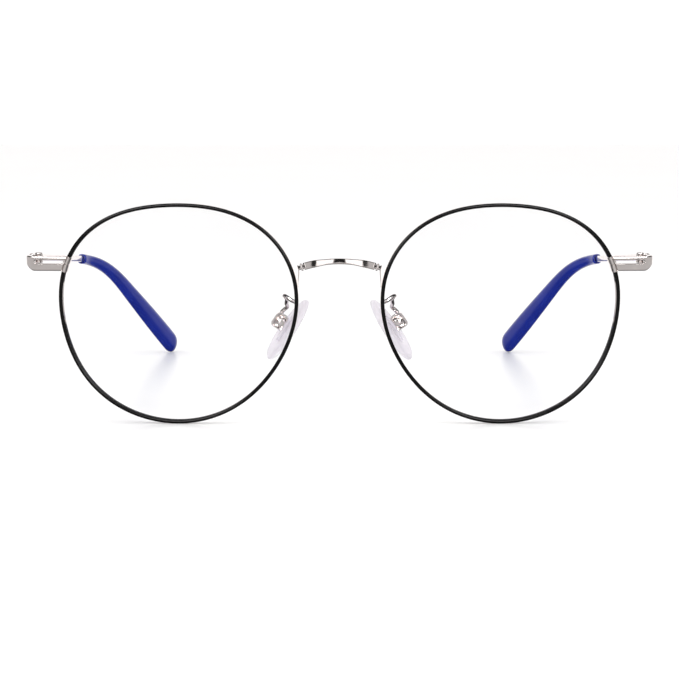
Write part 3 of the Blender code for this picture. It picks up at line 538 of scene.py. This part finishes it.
def endpiece():
    """The strip from the closing block, round the corner and back to the hinge."""
    top, bottom = LEVEL + 1.82 * MM, LEVEL - 1.38 * MM
    side_top, side_bottom = LEVEL + 1.92 * MM, LEVEL + 0.05 * MM
    along = Vector((math.cos(WRAP), math.sin(WRAP), 0))
    back = Vector((-along.y, along.x, 0))
    slack = SOLDER_GAP / abs(line_tangent(CLOSING_ANGLE)[0].y)
    rings = [strip_ring(lambda level: in_front(band_edge(level) + slack, level, 0), back, bottom, top)]
    corner = Vector((BEND_X, BEND_Y, 0))
    steps = 20
    for step in range(steps + 1):
        turn = WRAP + (math.pi / 2 - WRAP) * step / steps
        inward = Vector((-math.sin(turn), math.cos(turn), 0))
        place = corner - inward * BEND
        rise = ease(step / steps)
        low = bottom + (side_bottom - bottom) * rise
        high = top + (side_top - top) * rise
        rings.append(strip_ring(lambda level, place=place: place, inward, low, high))
    rear = Vector((SIDE_X, HINGE_POS.y - BUTT_HALF, 0))
    rings.append(strip_ring(lambda level: rear, Vector((-1, 0, 0)), side_bottom, side_top))
    return loft(rings)


def endpiece_slot():
    level = LEVEL + 0.60 * MM
    radius = 0.375 * MM
    start = band_edge(level)
    end = (BEND_X - BRIDGE_GAP / 2) / math.cos(WRAP) + 0.1 * MM - radius
    rings = []
    for grow, depth in ((0.45 * MM, -0.3 * MM), (0, 0.15 * MM), (0, 1.7 * MM)):
        ring = []
        for centre, first in ((end, -90), (start, 90)):
            for step in range(13):
                turn = math.radians(first + step * 15)
                reach = radius + grow
                ring.append(in_front(centre + reach * math.cos(turn), level + reach * math.sin(turn), depth))
        rings.append(ring)
    return loft(rings)


def barrel(bottom, top, hole):
    """A knuckle: a ring with softened edges."""
    trim = 0.06 * MM
    profile = (
        (BARREL - trim, bottom),
        (BARREL, bottom + trim),
        (BARREL, top - trim),
        (BARREL - trim, top),
        (hole, top),
        (hole, bottom),
    )
    rings = []
    turns = [2 * math.pi * i / 40 for i in range(40)]
    for radius, height in profile:
        circle = [(radius * math.cos(turn), radius * math.sin(turn)) for turn in turns]
        rings.append([Vector((HINGE_POS.x + x, HINGE_POS.y + y, height)) for x, y in circle])
    return loft(rings, closed=True)


def upright_block(low, high):
    outline = ((low[0], low[1]), (high[0], low[1]), (high[0], high[1]), (low[0], high[1]))
    return extruded(outline, lambda a, b, c: Vector((a, b, c)), low[2], high[2])


LEAF = 0.5 * MM
LEAF_OUTER = INNER_X - 0.06 * MM
THIRD = (HINGE_HIGH - HINGE_LOW) / 3
KNUCKLE_GAP = 0.06 * MM


def leaf_plate(direction):
    """The flat leaf beside the strip: -1 lies on the endpiece and 1 on the temple."""
    near = HINGE_POS.y + direction * (BARREL + 0.06 * MM)
    far = HINGE_POS.y + direction * 3.1 * MM
    middle = (HINGE_LOW + HINGE_HIGH) / 2
    half = (HINGE_HIGH - HINGE_LOW) / 2
    outline = [(near, HINGE_LOW), (near, HINGE_HIGH)]
    for step in range(9):
        turn = math.radians(90 - 180 * step / 8)
        reach = far - direction * 0.7 * MM
        outline.append((reach + direction * 0.7 * MM * math.cos(turn), middle + half * math.sin(turn)))
    return extruded(outline, lambda a, b, c: Vector((c, a, b)), LEAF_OUTER - LEAF, LEAF_OUTER)


def leaf_web(direction, levels):
    far = HINGE_POS.y + direction * (BARREL + 0.5 * MM)
    low_y, high_y = min(far, HINGE_POS.y), max(far, HINGE_POS.y)
    near, far_side = HINGE_POS.x + 0.6225 * MM, LEAF_OUTER - 0.025 * MM
    return upright_block((near, low_y, levels[0]), (far_side, high_y, levels[1]))


LOWER = (HINGE_LOW, HINGE_LOW + THIRD - KNUCKLE_GAP)
MIDDLE = (HINGE_LOW + THIRD, HINGE_HIGH - THIRD)
UPPER = (HINGE_HIGH - THIRD + KNUCKLE_GAP, HINGE_HIGH)
HINGE_AXIS_AT = Vector((HINGE_POS.x, HINGE_POS.y, 0))


def hinge_screw():
    under = HINGE_HIGH + KNUCKLE_GAP
    profile = [(0.5 * MM, HINGE_LOW), (0.5 * MM, under), (0.85 * MM, under)]
    for step in range(7):
        turn = math.pi / 2 * step / 6
        profile.append(((0.4 + 0.45 * math.cos(turn)) * MM, under + (0.08 + 0.22 * math.sin(turn)) * MM))
    return turned(profile, HINGE_AXIS_AT, Vector((0, 0, 1)), Vector((1, 0, 0)), 40)


def hinge_screw_slot():
    top = HINGE_HIGH + KNUCKLE_GAP + 0.3 * MM
    centre = HINGE_AXIS_AT
    low = (centre.x - MM, centre.y - 0.12 * MM, top - 0.16 * MM)
    return upright_block(low, (centre.x + MM, centre.y + 0.12 * MM, top + 0.2 * MM))


# Bridge
RISE = 1.28 * MM
SPAN = BRIDGE_GAP / 2 - 1.15 * MM
BRIDGE_DEPTH = 1.5 * MM
FACET_RADIUS = 60 * MM
CROWN = LENS_HEIGHT / 2 + HALF_FACE + 11.57 * MM


def bridge_profile(out):
    """Height of the bar's section, and how far its collar stands out, at a distance from the centre."""
    past = abs(out) - SPAN
    if past < -0.45 * MM:
        return (1.22 + 0.33 * ease((abs(out) / SPAN - 0.3) / 0.4)) * MM, 0.0
    if past < -0.20 * MM:
        return (1.55 - 0.40 * ease((past / MM + 0.45) / 0.12)) * MM, -0.05 * MM
    if past < 0.24 * MM:
        return 1.50 * MM, 0.05 * MM * math.sin(math.pi * (past / MM + 0.20) / 0.44)
    return 0.95 * MM, 0.0


def bridge_bar():
    """The arched bar: a flat face with slanted edges, a round shoulder, a collar and a neck at each end."""
    end = BRIDGE_GAP / 2
    marks = [k / 70 * (SPAN - 0.5 * MM) for k in range(71)]
    marks += [SPAN + (0.03 * k - 0.47) * MM for k in range(26)]
    marks = [mark for mark in marks if mark < end] + [end]
    stations = [-mark for mark in reversed(marks[1:])] + marks
    middle = BRIDGE_DEPTH / 2
    rings = []
    for out in stations:
        tall, swell = bridge_profile(out)
        recess = min(out**2 / 2 / FACET_RADIUS, 0.45 * MM)
        up = Vector((2 * RISE * out / SPAN**2, 0, 1)).normalized()
        centre = Vector((out, FRONT_Y + middle, CROWN - RISE * (out / SPAN) ** 2))
        half, deep = tall / 2 + swell, middle + swell / 2 - 0.01 * MM
        slant = 0.13 * MM
        face = half - slant
        outline = [(face * k / 4, -deep + recess + 0.004 * MM * (k / 4) ** 2) for k in range(-4, 5)]
        outline += [
            (half, -deep + recess + slant),
            (half, deep - 0.5 * MM),
            (half * 0.78, deep - 0.14 * MM),
            (half * 0.4, deep),
            (-half * 0.4, deep),
            (-half * 0.78, deep - 0.14 * MM),
            (-half, deep - 0.5 * MM),
            (-half, -deep + recess + slant),
        ]
        rings.append([centre + up * a + BACKWARD * b for a, b in outline])
    return loft(rings)


def bridge_foot(side):
    """The tapered foot down the nasal side of one eyewire."""
    steps = 18
    front, back = 0.16 * MM, BRIDGE_DEPTH
    near = HALF_FACE + SOLDER_GAP
    rings = []
    for step in range(steps + 1):
        share = step / steps
        angle = 12.0 + 10.3 * share
        far = near + 0.12 * MM + 1.1 * MM * ease(share)
        trim = min(0.2 * MM, (far - near) * 0.4)
        corners = (
            (near, front),
            (far - trim, front),
            (far, front + trim),
            (far, back - trim),
            (far - trim, back),
            (near, back),
        )
        ring = [rim_point(angle, out, depth) for out, depth in corners]
        rings.append([Vector((side * point.x, point.y, point.z)) for point in ring])
    return loft(rings)


# Nose pad and its holder
PAD_TILT = math.radians(34.0)
PAD_SPLAY = math.radians(18.0)
PAD_ALONG = Vector((math.sin(PAD_TILT), 0, -math.cos(PAD_TILT)))
PAD_NOSEWARD = Vector((-math.cos(PAD_TILT), 0, -math.sin(PAD_TILT)))
LUG = 1.3 * MM
LUG_HALF = 0.6 * MM
CHEEK = 0.7 * MM
WALL = 0.5 * MM
PAD_OFFSET = 2.25 * MM
PAD_HALF = 0.95 * MM
PAD_POCKET = 0.46  # the insert's pocket, as a share of the pad's outline
POCKET_FLOOR = 0.7 * MM - PAD_HALF
LUG_GAP = 0.10 * MM


def pad_place(along, noseward, back):
    return PAD_POS + PAD_ALONG * along + PAD_NOSEWARD * noseward + BACKWARD * back


def pad_ring(share, thick, sides=56):
    """A drop-shaped ring of the pad, turned outward by its splay."""
    sine, cosine = math.sin(PAD_SPLAY), math.cos(PAD_SPLAY)
    ring = []
    for i in range(sides):
        turn = 2 * math.pi * i / sides
        along = math.cos(turn) * 7.85 * MM * share + 0.65 * MM
        wide = math.sin(turn) * 3.75 * MM * share * (1 + 0.14 * math.cos(turn))
        noseward = PAD_OFFSET + thick * cosine - wide * sine
        ring.append(pad_place(along, noseward, thick * sine + wide * cosine))
    return ring


def nose_pad():
    """The soft pad: a round edge, a domed contact face and a pocket for the insert."""
    rings = [pad_ring(PAD_POCKET * 0.5, POCKET_FLOOR), pad_ring(PAD_POCKET, POCKET_FLOOR)]
    rings += [pad_ring(PAD_POCKET, -PAD_HALF + 0.06 * MM), pad_ring(PAD_POCKET + 0.02, -PAD_HALF)]
    for step in range(17):
        turn = math.radians(-90 + 180 * step / 16)
        share = 0.84 + 0.16 * math.cos(turn)
        if step > 8:
            share = math.cos(turn) ** 0.62
        rings.append(pad_ring(max(share, 0.05), PAD_HALF * math.sin(turn) * 0.97))
    return loft(rings)


def insert_plate():
    """The hard plate in the pad's pocket, a little smaller all round."""
    gap = 0.12 * MM
    share = PAD_POCKET - 2 * gap / (7.5 * MM)
    face, edge = POCKET_FLOOR - gap, 0.08 * MM - PAD_HALF
    return loft([pad_ring(share, face), pad_ring(share, edge), pad_ring(share - 0.03, -PAD_HALF)])


def pad_lug():
    root = PAD_OFFSET - PAD_HALF + 0.28 * MM
    outline = [(-LUG, root), (LUG, root)]
    for step in range(17):
        turn = math.radians(180 * step / 16)
        outline.append((LUG * math.cos(turn), -LUG * math.sin(turn)))
    return extruded(outline, pad_place, -LUG_HALF, LUG_HALF)


def pad_hole(radius):
    return turned(((radius, -4 * MM), (radius, 4 * MM)), PAD_POS, BACKWARD, PAD_ALONG)


def pad_box():
    """The channel that holds the lug: two cheeks with round corners and a wall between them."""
    outer = CHEEK + WALL
    floor = -LUG - LUG_GAP - WALL
    half = 1.7 * MM
    corner = 0.85 * MM
    outline = [(half, 0.9 * MM), (-half, 0.9 * MM)]
    for centre, first in ((-half + corner, 180), (half - corner, 270)):
        for step in range(7):
            turn = math.radians(first + 15 * step)
            outline.append((centre + corner * math.cos(turn), floor + corner + corner * math.sin(turn)))
    return extruded(outline, pad_place, -outer, outer)


def pad_box_trim():
    """What is cut from the rear cheek, which ends short of the front one."""
    outline = [(-3 * MM, 0.5 * MM), (3 * MM, 0.5 * MM), (3 * MM, 3 * MM), (-3 * MM, 3 * MM)]
    return extruded(outline, pad_place, 0, 3 * MM)


def pad_box_pocket():
    """A shallow sunk field on the front cheek, with sloping sides."""
    rings = []
    for grow, back in ((0.42, -0.24), (0.0, 0.18), (-0.12, 0.24)):
        low, high = (-1.25 - grow) * MM, (0.55 + grow) * MM
        across = (1.25 + grow) * MM
        outline = rounded((-across, low), (across, high), 0.5 * MM, 5)
        rings.append([pad_place(a, b, back * MM - CHEEK - WALL) for a, b in outline])
    return loft(rings)


def pad_box_hollow():
    floor = -LUG - LUG_GAP
    outline = [(-3 * MM, floor), (3 * MM, floor), (3 * MM, 3 * MM), (-3 * MM, 3 * MM)]
    return extruded(outline, pad_place, -CHEEK, CHEEK)


def pad_screw():
    cheek = CHEEK + WALL
    under = -cheek - 0.05 * MM
    profile = [(0.5 * MM, cheek), (0.5 * MM, under), (0.93 * MM, under)]
    for step in range(7):
        turn = math.pi / 2 * step / 6
        profile.append(((0.55 + 0.38 * math.cos(turn)) * MM, under - (0.28 + 0.22 * math.sin(turn)) * MM))
    return turned(profile, PAD_POS, BACKWARD, PAD_ALONG, 40)


def pad_screw_slot():
    top = -(CHEEK + WALL + 0.05 * MM + 0.5 * MM)
    half = 0.14 * MM
    outline = ((-2 * MM, -half), (2 * MM, -half), (2 * MM, half), (-2 * MM, half))
    return extruded(outline, pad_place, top - 0.22 * MM, top + 0.22 * MM)


ARM_RADIUS = 0.45 * MM
ARM_ANGLE = 4.0


def pad_arm():
    """The bent rod from the back of the eyewire, out, round a hairpin and down to the box."""
    root = rim_point(ARM_ANGLE, 0, WIRE_DEPTH + SOLDER_GAP + 0.35 * MM)
    end = pad_place(-1.7 * MM - SOLDER_GAP, -LUG - LUG_GAP + ARM_RADIUS / 2, 0)
    bends = (
        root + Vector((1.15, 0.45, 0.45)) * MM,
        root + Vector((2.45, 1.45, 1.25)) * MM,
        root + Vector((2.85, 2.45, 1.25)) * MM,
        root + Vector((2.35, 3.30, 0.55)) * MM,
        end + Vector((-1.15, -1.75, 2.05)) * MM,
        end + Vector((-1.30, -0.85, 1.30)) * MM,
        end + Vector((-0.62, -0.20, 0.62)) * MM,
    )
    return rod(smooth_path([root, *bends, end], 10), ARM_RADIUS, 24)


def pad_arm_foot():
    half = 1.2 * MM / line_tangent(ARM_ANGLE)[1]
    front = WIRE_DEPTH + SOLDER_GAP
    rings = []
    for step in range(9):
        share = -1 + step / 4
        low = 0.36 * MM * math.sqrt(max(1 - share**4, 0.08))
        outline = rounded((-low, front), (low, front + 0.7 * MM * (1 - 0.5 * share**4)), 0.1 * MM, 2)
        rings.append([rim_point(ARM_ANGLE + half * share, out, depth) for out, depth in outline])
    return loft(rings)


# Temple
TEMPLE_LENGTH = 137.4 * MM
SLEEVE_LENGTH = 59.0 * MM
MOUTH_AT = TEMPLE_LENGTH - SLEEVE_LENGTH
BENDS_AT = MOUTH_AT - 4.0 * MM
STRIP_HALF = (0.825 * MM, 0.525 * MM)
STRIP_SQUARENESS = 0.38
CORE_RECESS = 2.2 * MM
CORE_HALF = (0.65 * MM, 0.65 * MM)
STEP = 0.5 * MM


def temple_line():
    """(length, point, direction) every half millimetre along the temple, from the hinge."""
    slope, drop_angle, inward_angle = math.radians(4.35), math.radians(36.0), math.radians(24.6)
    place = Vector((SIDE_X - STRIP_HALF[1], HINGE_POS.y + BUTT_HALF, LEVEL + 1.25 * MM))
    line = []
    for k in range(round(TEMPLE_LENGTH / STEP) + 1):
        length = k * STEP
        drop = slope + (drop_angle - slope) * ease((length - BENDS_AT) / (31 * MM))
        inward = inward_angle * ease((length - BENDS_AT) / (12 * MM))
        heading = Vector(
            (-math.cos(drop) * math.sin(inward), math.cos(drop) * math.cos(inward), -math.sin(drop))
        )
        line.append((length, place.copy(), heading))
        place += heading * STEP
    return line


TEMPLE_LINE = temple_line()


def temple_ring(length, tall, thick, sides, squareness=1.0):
    index = min(round(length / STEP), len(TEMPLE_LINE) - 1)
    at, place, heading = TEMPLE_LINE[index]
    place = place + heading * (length - at)
    lateral = heading.cross(Vector((0, 0, 1))).normalized()
    up = lateral.cross(heading)
    ring = []
    for i in range(sides):
        turn = 2 * math.pi * (i + 0.5) / sides
        cosine, sine = math.cos(turn), math.sin(turn)
        across = math.copysign(abs(cosine) ** squareness, cosine)
        upward = math.copysign(abs(sine) ** squareness, sine)
        ring.append(place + lateral * (across * thick) + up * (upward * tall))
    return ring


def temple_core():
    """The strip, cut square at the hinge, that turns into a round wire inside the sleeve."""
    front = HINGE_POS.y + BUTT_HALF
    butt = [Vector((p.x, front, p.z)) for p in temple_ring(0, *STRIP_HALF, 32, STRIP_SQUARENESS)]
    rings = [butt]
    for share in (0.01, 0.04, 0.25, 0.5, 0.75, 1.0):
        rings.append(temple_ring((MOUTH_AT - MM) * share, *STRIP_HALF, 32, STRIP_SQUARENESS))
    for step in range(1, 7):
        share = ease(step / 6)
        half = [a + (b - a) * share for a, b in zip(STRIP_HALF, CORE_HALF)]
        squareness = STRIP_SQUARENESS + (1 - STRIP_SQUARENESS) * share
        rings.append(temple_ring(MOUTH_AT - MM + CORE_RECESS * step / 6, *half, 32, squareness))
    start, end = MOUTH_AT + 2.5 * MM, TEMPLE_LENGTH - 9 * MM
    rings += [temple_ring(start + (end - start) * step / 40, *CORE_HALF, 32) for step in range(41)]
    return loft(rings)


def sleeve_half(length):
    growth = ease((length - MOUTH_AT) / (53 * MM))
    return [(a + (b - a) * growth) * MM for a, b in zip((1.27, 1.18), (2.84, 1.37))]


def sleeve():
    """The sleeve: round at its mouth, flatter and taller to its tip, hollow for the wire."""
    sides = 40
    lip = temple_ring(MOUTH_AT, 1.12 * MM, 1.02 * MM, sides, 0.9)
    rings = [lip, temple_ring(MOUTH_AT + 0.05 * MM, 1.2 * MM, 1.1 * MM, sides, 0.9)]
    blunt = 4.5 * MM
    start, body = MOUTH_AT + 0.2 * MM, SLEEVE_LENGTH - blunt - 0.2 * MM
    for step in range(91):
        length = start + body * step / 90
        rings.append(temple_ring(length, *sleeve_half(length), sides, 0.85))
    for step in range(1, 11):
        share = math.sin(math.pi / 2 * step / 10)
        length = start + body + blunt * share
        size = max((1 - share**3.2) ** 0.55, 0.16)
        tall, thick = sleeve_half(length)
        rings.append(temple_ring(length, tall * size, thick * size, sides, 0.85))
    tip = len(rings) - 1
    end, floor = TEMPLE_LENGTH - 8.88 * MM, MOUTH_AT + 2.2 * MM
    channel = [0.77 * MM, 0.77 * MM]
    recess = [half + 0.16 * MM for half in STRIP_HALF]
    for step in range(40, -1, -1):
        length = floor + 1.5 * MM + (end - floor - 1.5 * MM) * step / 40
        rings.append(temple_ring(length, *channel, sides))
    rings.append(temple_ring(floor, *recess, sides, 0.8))
    rings.append(temple_ring(MOUTH_AT, *recess, sides, 0.8))
    points, faces = loft(rings)
    faces = [face for face in faces[:-2] if not face[0] // sides == tip]
    faces.append(tuple(range(tip * sides, (tip + 1) * sides)))
    faces.append(tuple(reversed(range((tip + 1) * sides, (tip + 2) * sides))))
    last = (len(rings) - 1) * sides
    faces += [(last + i, last + (i + 1) % sides, (i + 1) % sides, i) for i in range(sides)]
    return points, faces


# Assembly


def build_front(side, label):
    """The fixed pieces of one side."""
    rim = piece(f"fine_eyewire_{label}", eyewire(), SILVER, "enamel", "front", f"eyewire_{label}", side)
    enamel_front(rim)
    piece(f"fine_lens_{label}", lens(), CLEAR, "lens", "front", f"lens_{label}", side)
    for word, direction in (("upper", -1), ("lower", 1)):
        node = f"closing_block_{word}_{label}"
        shape = closing_block(direction)
        piece(f"fine_{node}", shape, SILVER, "silver", "front", node, side, cuts=[rim_screw_hole()])
    node = f"rim_screw_{label}"
    piece(f"fine_{node}", rim_screw(), SILVER, "silver", "front", node, side, cuts=[rim_screw_slot()])
    node = f"endpiece_{label}"
    cuts = [endpiece_slot()]
    piece(f"fine_{node}", endpiece(), SILVER, "silver", "front", node, side, cuts=cuts, bevel=0.07 * MM)
    node = f"hinge_leaf_front_{label}"
    hole = 0.55 * MM
    joins = [barrel(*LOWER, hole), leaf_web(-1, LOWER), barrel(*UPPER, hole), leaf_web(-1, UPPER)]
    piece(f"fine_{node}", leaf_plate(-1), SILVER, "silver", "front", node, side, joins=joins)
    node = f"hinge_screw_{label}"
    piece(f"fine_{node}", hinge_screw(), SILVER, "silver", "front", node, side, cuts=[hinge_screw_slot()])
    node = f"pad_arm_{label}"
    piece(f"fine_{node}", pad_arm(), SILVER, "silver", "front", node, side, joins=[pad_arm_foot()])
    node = f"pad_box_{label}"
    cuts = [pad_box_hollow(), pad_box_trim(), pad_box_pocket(), pad_hole(0.55 * MM)]
    piece(f"fine_{node}", pad_box(), SILVER, "silver", "front", node, side, cuts=cuts, bevel=0.16 * MM)
    node = f"pad_screw_{label}"
    piece(f"fine_{node}", pad_screw(), SILVER, "silver", "front", node, side, cuts=[pad_screw_slot()])


def build_temple(side, label):
    body = f"temple_{label}"
    node = f"hinge_leaf_temple_{label}"
    joins = [barrel(*MIDDLE, 0.56 * MM), leaf_web(1, MIDDLE)]
    piece(f"fine_{node}", leaf_plate(1), SILVER, "silver", body, node, side, joins=joins)
    piece(f"fine_temple_core_{label}", temple_core(), SILVER, "silver", body, f"temple_core_{label}", side)
    piece(f"fine_temple_sleeve_{label}", sleeve(), BLUE, "sleeve", body, f"temple_sleeve_{label}", side)


def build_pad(side, label):
    body = f"pad_{label}"
    piece(f"fine_nose_pad_{label}", nose_pad(), SILICONE, "silicone", body, f"nose_pad_{label}", side)
    node = f"pad_insert_{label}"
    cuts = [pad_hole(0.56 * MM)]
    piece(f"fine_{node}", insert_plate(), INSERT, "insert", body, node, side, joins=[pad_lug()], cuts=cuts)


feet = [bridge_foot(1), bridge_foot(-1)]
piece("fine_bridge", bridge_bar(), SILVER, "silver", "front", "bridge", joins=feet, sharp=30)
for side, label in ((1, "left"), (-1, "right")):
    build_front(side, label)
    build_temple(side, label)
    build_pad(side, label)


# Studio: what the gloss mirrors, as (place, brightness) pairs along one direction
FRONT_BY_RISE = (
    (-1.0, 0.03),
    (-0.72, 0.04),
    (-0.60, 0.50),
    (-0.40, 0.25),
    (-0.30, 0.58),
    (0.10, 0.56),
    (0.16, 0.05),
    (0.30, 0.05),
    (0.38, 1.1),
    (1.0, 1.1),
)
CAMERA_SIDE_BY_OFFSET = (
    (0.0, 0.02),
    (0.045, 0.02),
    (0.052, 1.5),
    (0.165, 1.5),
    (0.172, 0.03),
    (0.196, 0.03),
    (0.204, 0.56),
)
AROUND_BY_DEPTH = ((-0.30, 0.04), (0.66, 0.05), (0.82, 1.12))
CAMERA_SIDE_END = 0.21  # where the panels beside the camera stop
BESIDE = 0.58  # the level band at the sides
KEY = 14.0  # the two small bright panels above the camera
PLAIN_WHITE = (1.04, 1.04, 1.04, 1)


def add_card(name, centre, aim, width, height, strength):
    """A soft area light that faces a point."""
    light = bpy.data.lights.new(name, "AREA")
    light.shape = "RECTANGLE"
    light.size = width
    light.size_y = height
    light.energy = strength
    holder = bpy.data.objects.new(name, light)
    bpy.context.scene.collection.objects.link(holder)
    holder.location = centre
    holder.rotation_euler = (Vector(aim) - Vector(centre)).to_track_quat("-Z", "Y").to_euler()


def add_floor():
    """A white floor with a faint gloss, left out of the metal's reflections."""
    mesh = bpy.data.meshes.new("floor")
    size = 6.0
    corners = [(-size, -size, 0), (size, -size, 0), (size, size, 0), (-size, size, 0)]
    mesh.from_pydata(corners, [], [(0, 1, 2, 3)])
    floor = bpy.data.objects.new("floor", mesh)
    bpy.context.scene.collection.objects.link(floor)
    floor.visible_glossy = False
    made, tree, shader = new_material("floor_white", Roughness=0.30, Specular_IOR_Level=0.6)
    add_colours(tree, shader, add_noise(tree, 3, 2, 0, 1), (0.955, 0.955, 0.955), (0.965, 0.965, 0.965))
    mesh.materials.append(made)


def add_levels(tree, value, levels, low, high):
    """A grey that follows the pairs of a table along a value."""
    spread = tree.nodes.new("ShaderNodeMapRange")
    spread.inputs["From Min"].default_value = low
    spread.inputs["From Max"].default_value = high
    tree.links.new(value, spread.inputs["Value"])
    ramp = tree.nodes.new("ShaderNodeValToRGB")
    while len(ramp.color_ramp.elements) < len(levels):
        ramp.color_ramp.elements.new(0.5)
    for element, (place, level) in zip(ramp.color_ramp.elements, levels):
        element.position = (place - low) / (high - low)
        element.color = (level, level * 0.975, level * 0.965, 1)
    tree.links.new(spread.outputs["Result"], ramp.inputs["Fac"])
    return ramp.outputs["Color"]


def add_math(tree, operation, *values):
    """A maths node on numbers or sockets."""
    node = tree.nodes.new("ShaderNodeMath")
    node.operation = operation
    for socket, value in zip(node.inputs, values):
        if isinstance(value, (int, float)):
            socket.default_value = value
        else:
            tree.links.new(value, socket)
    return node.outputs["Value"]


def add_mix(tree, factor, first, second):
    """A mix of two colours, each a value or a socket."""
    node = tree.nodes.new("ShaderNodeMix")
    node.data_type = "RGBA"
    tree.links.new(factor, node.inputs["Factor"])
    for name, value in (("A", first), ("B", second)):
        if isinstance(value, tuple):
            node.inputs[name].default_value = value
        else:
            tree.links.new(value, node.inputs[name])
    return node.outputs["Result"]


def add_world():
    """Plain white light; the gloss mirrors panels and flags in front, dark sides and white paper behind."""
    world = bpy.data.worlds.new("studio")
    world.use_nodes = True
    tree = world.node_tree
    place = tree.nodes.new("ShaderNodeTexCoord")
    axes = tree.nodes.new("ShaderNodeSeparateXYZ")
    tree.links.new(place.outputs["Generated"], axes.inputs["Vector"])
    across, depth, rise = (axes.outputs[name] for name in "XYZ")
    front = add_levels(tree, rise, FRONT_BY_RISE, -1, 1)
    lean = add_math(tree, "MULTIPLY_ADD", rise, 0.12, 0.01)
    offset = add_math(tree, "ADD", add_math(tree, "ABSOLUTE", across), lean)
    panels = add_levels(tree, offset, CAMERA_SIDE_BY_OFFSET, 0, 0.3)
    near = add_math(tree, "GREATER_THAN", add_math(tree, "MULTIPLY_ADD", offset, 0.28, rise), -0.082)
    near = add_math(tree, "MULTIPLY", near, add_math(tree, "LESS_THAN", rise, 0.1))
    ahead = add_math(tree, "MULTIPLY", near, add_math(tree, "LESS_THAN", depth, -0.9))
    close = add_math(tree, "MULTIPLY", ahead, add_math(tree, "LESS_THAN", offset, CAMERA_SIDE_END))
    front = add_mix(tree, close, front, panels)
    keys = add_math(tree, "COMPARE", add_math(tree, "ABSOLUTE", across), 0.25, 0.14)
    keys = add_math(tree, "MULTIPLY", keys, add_math(tree, "COMPARE", rise, 0.24, 0.13))
    front = add_mix(tree, keys, front, (KEY, KEY * 0.98, KEY * 0.98, 1))
    around = add_levels(tree, depth, AROUND_BY_DEPTH, -1, 1)
    level = add_math(tree, "COMPARE", rise, -0.07, 0.16)
    level = add_math(tree, "MULTIPLY", level, add_math(tree, "LESS_THAN", depth, 0.7))
    around = add_mix(tree, level, around, (BESIDE, BESIDE * 0.975, BESIDE * 0.965, 1))
    studio = add_mix(tree, add_math(tree, "GREATER_THAN", depth, -0.3), front, around)
    path = tree.nodes.new("ShaderNodeLightPath")
    seen = add_mix(tree, path.outputs["Is Glossy Ray"], PLAIN_WHITE, studio)
    tree.links.new(seen, tree.nodes["Background"].inputs["Color"])
    bpy.context.scene.world = world


def add_camera():
    camera = bpy.data.cameras.new("camera")
    camera.sensor_width = 36.0
    camera.lens = 98.34
    camera.clip_start = 0.01
    camera.clip_end = 20
    holder = bpy.data.objects.new("camera", camera)
    bpy.context.scene.collection.objects.link(holder)
    distance, height, pitch = 0.400, 0.0646, math.radians(6.57)
    holder.location = (0, FRONT_Y + 0.0013 - distance, height)
    holder.rotation_euler = (math.pi / 2 - pitch, 0, 0)
    bpy.context.scene.camera = holder


add_world()
add_floor()
for side in (1, -1):
    add_card(f"strip_{side}", (side * 0.45, -0.45, 0.50), (0, FRONT_Y, 0.03), 0.06, 0.30, 1.0)
add_camera()
bpy.context.scene.view_settings.view_transform = "Standard"
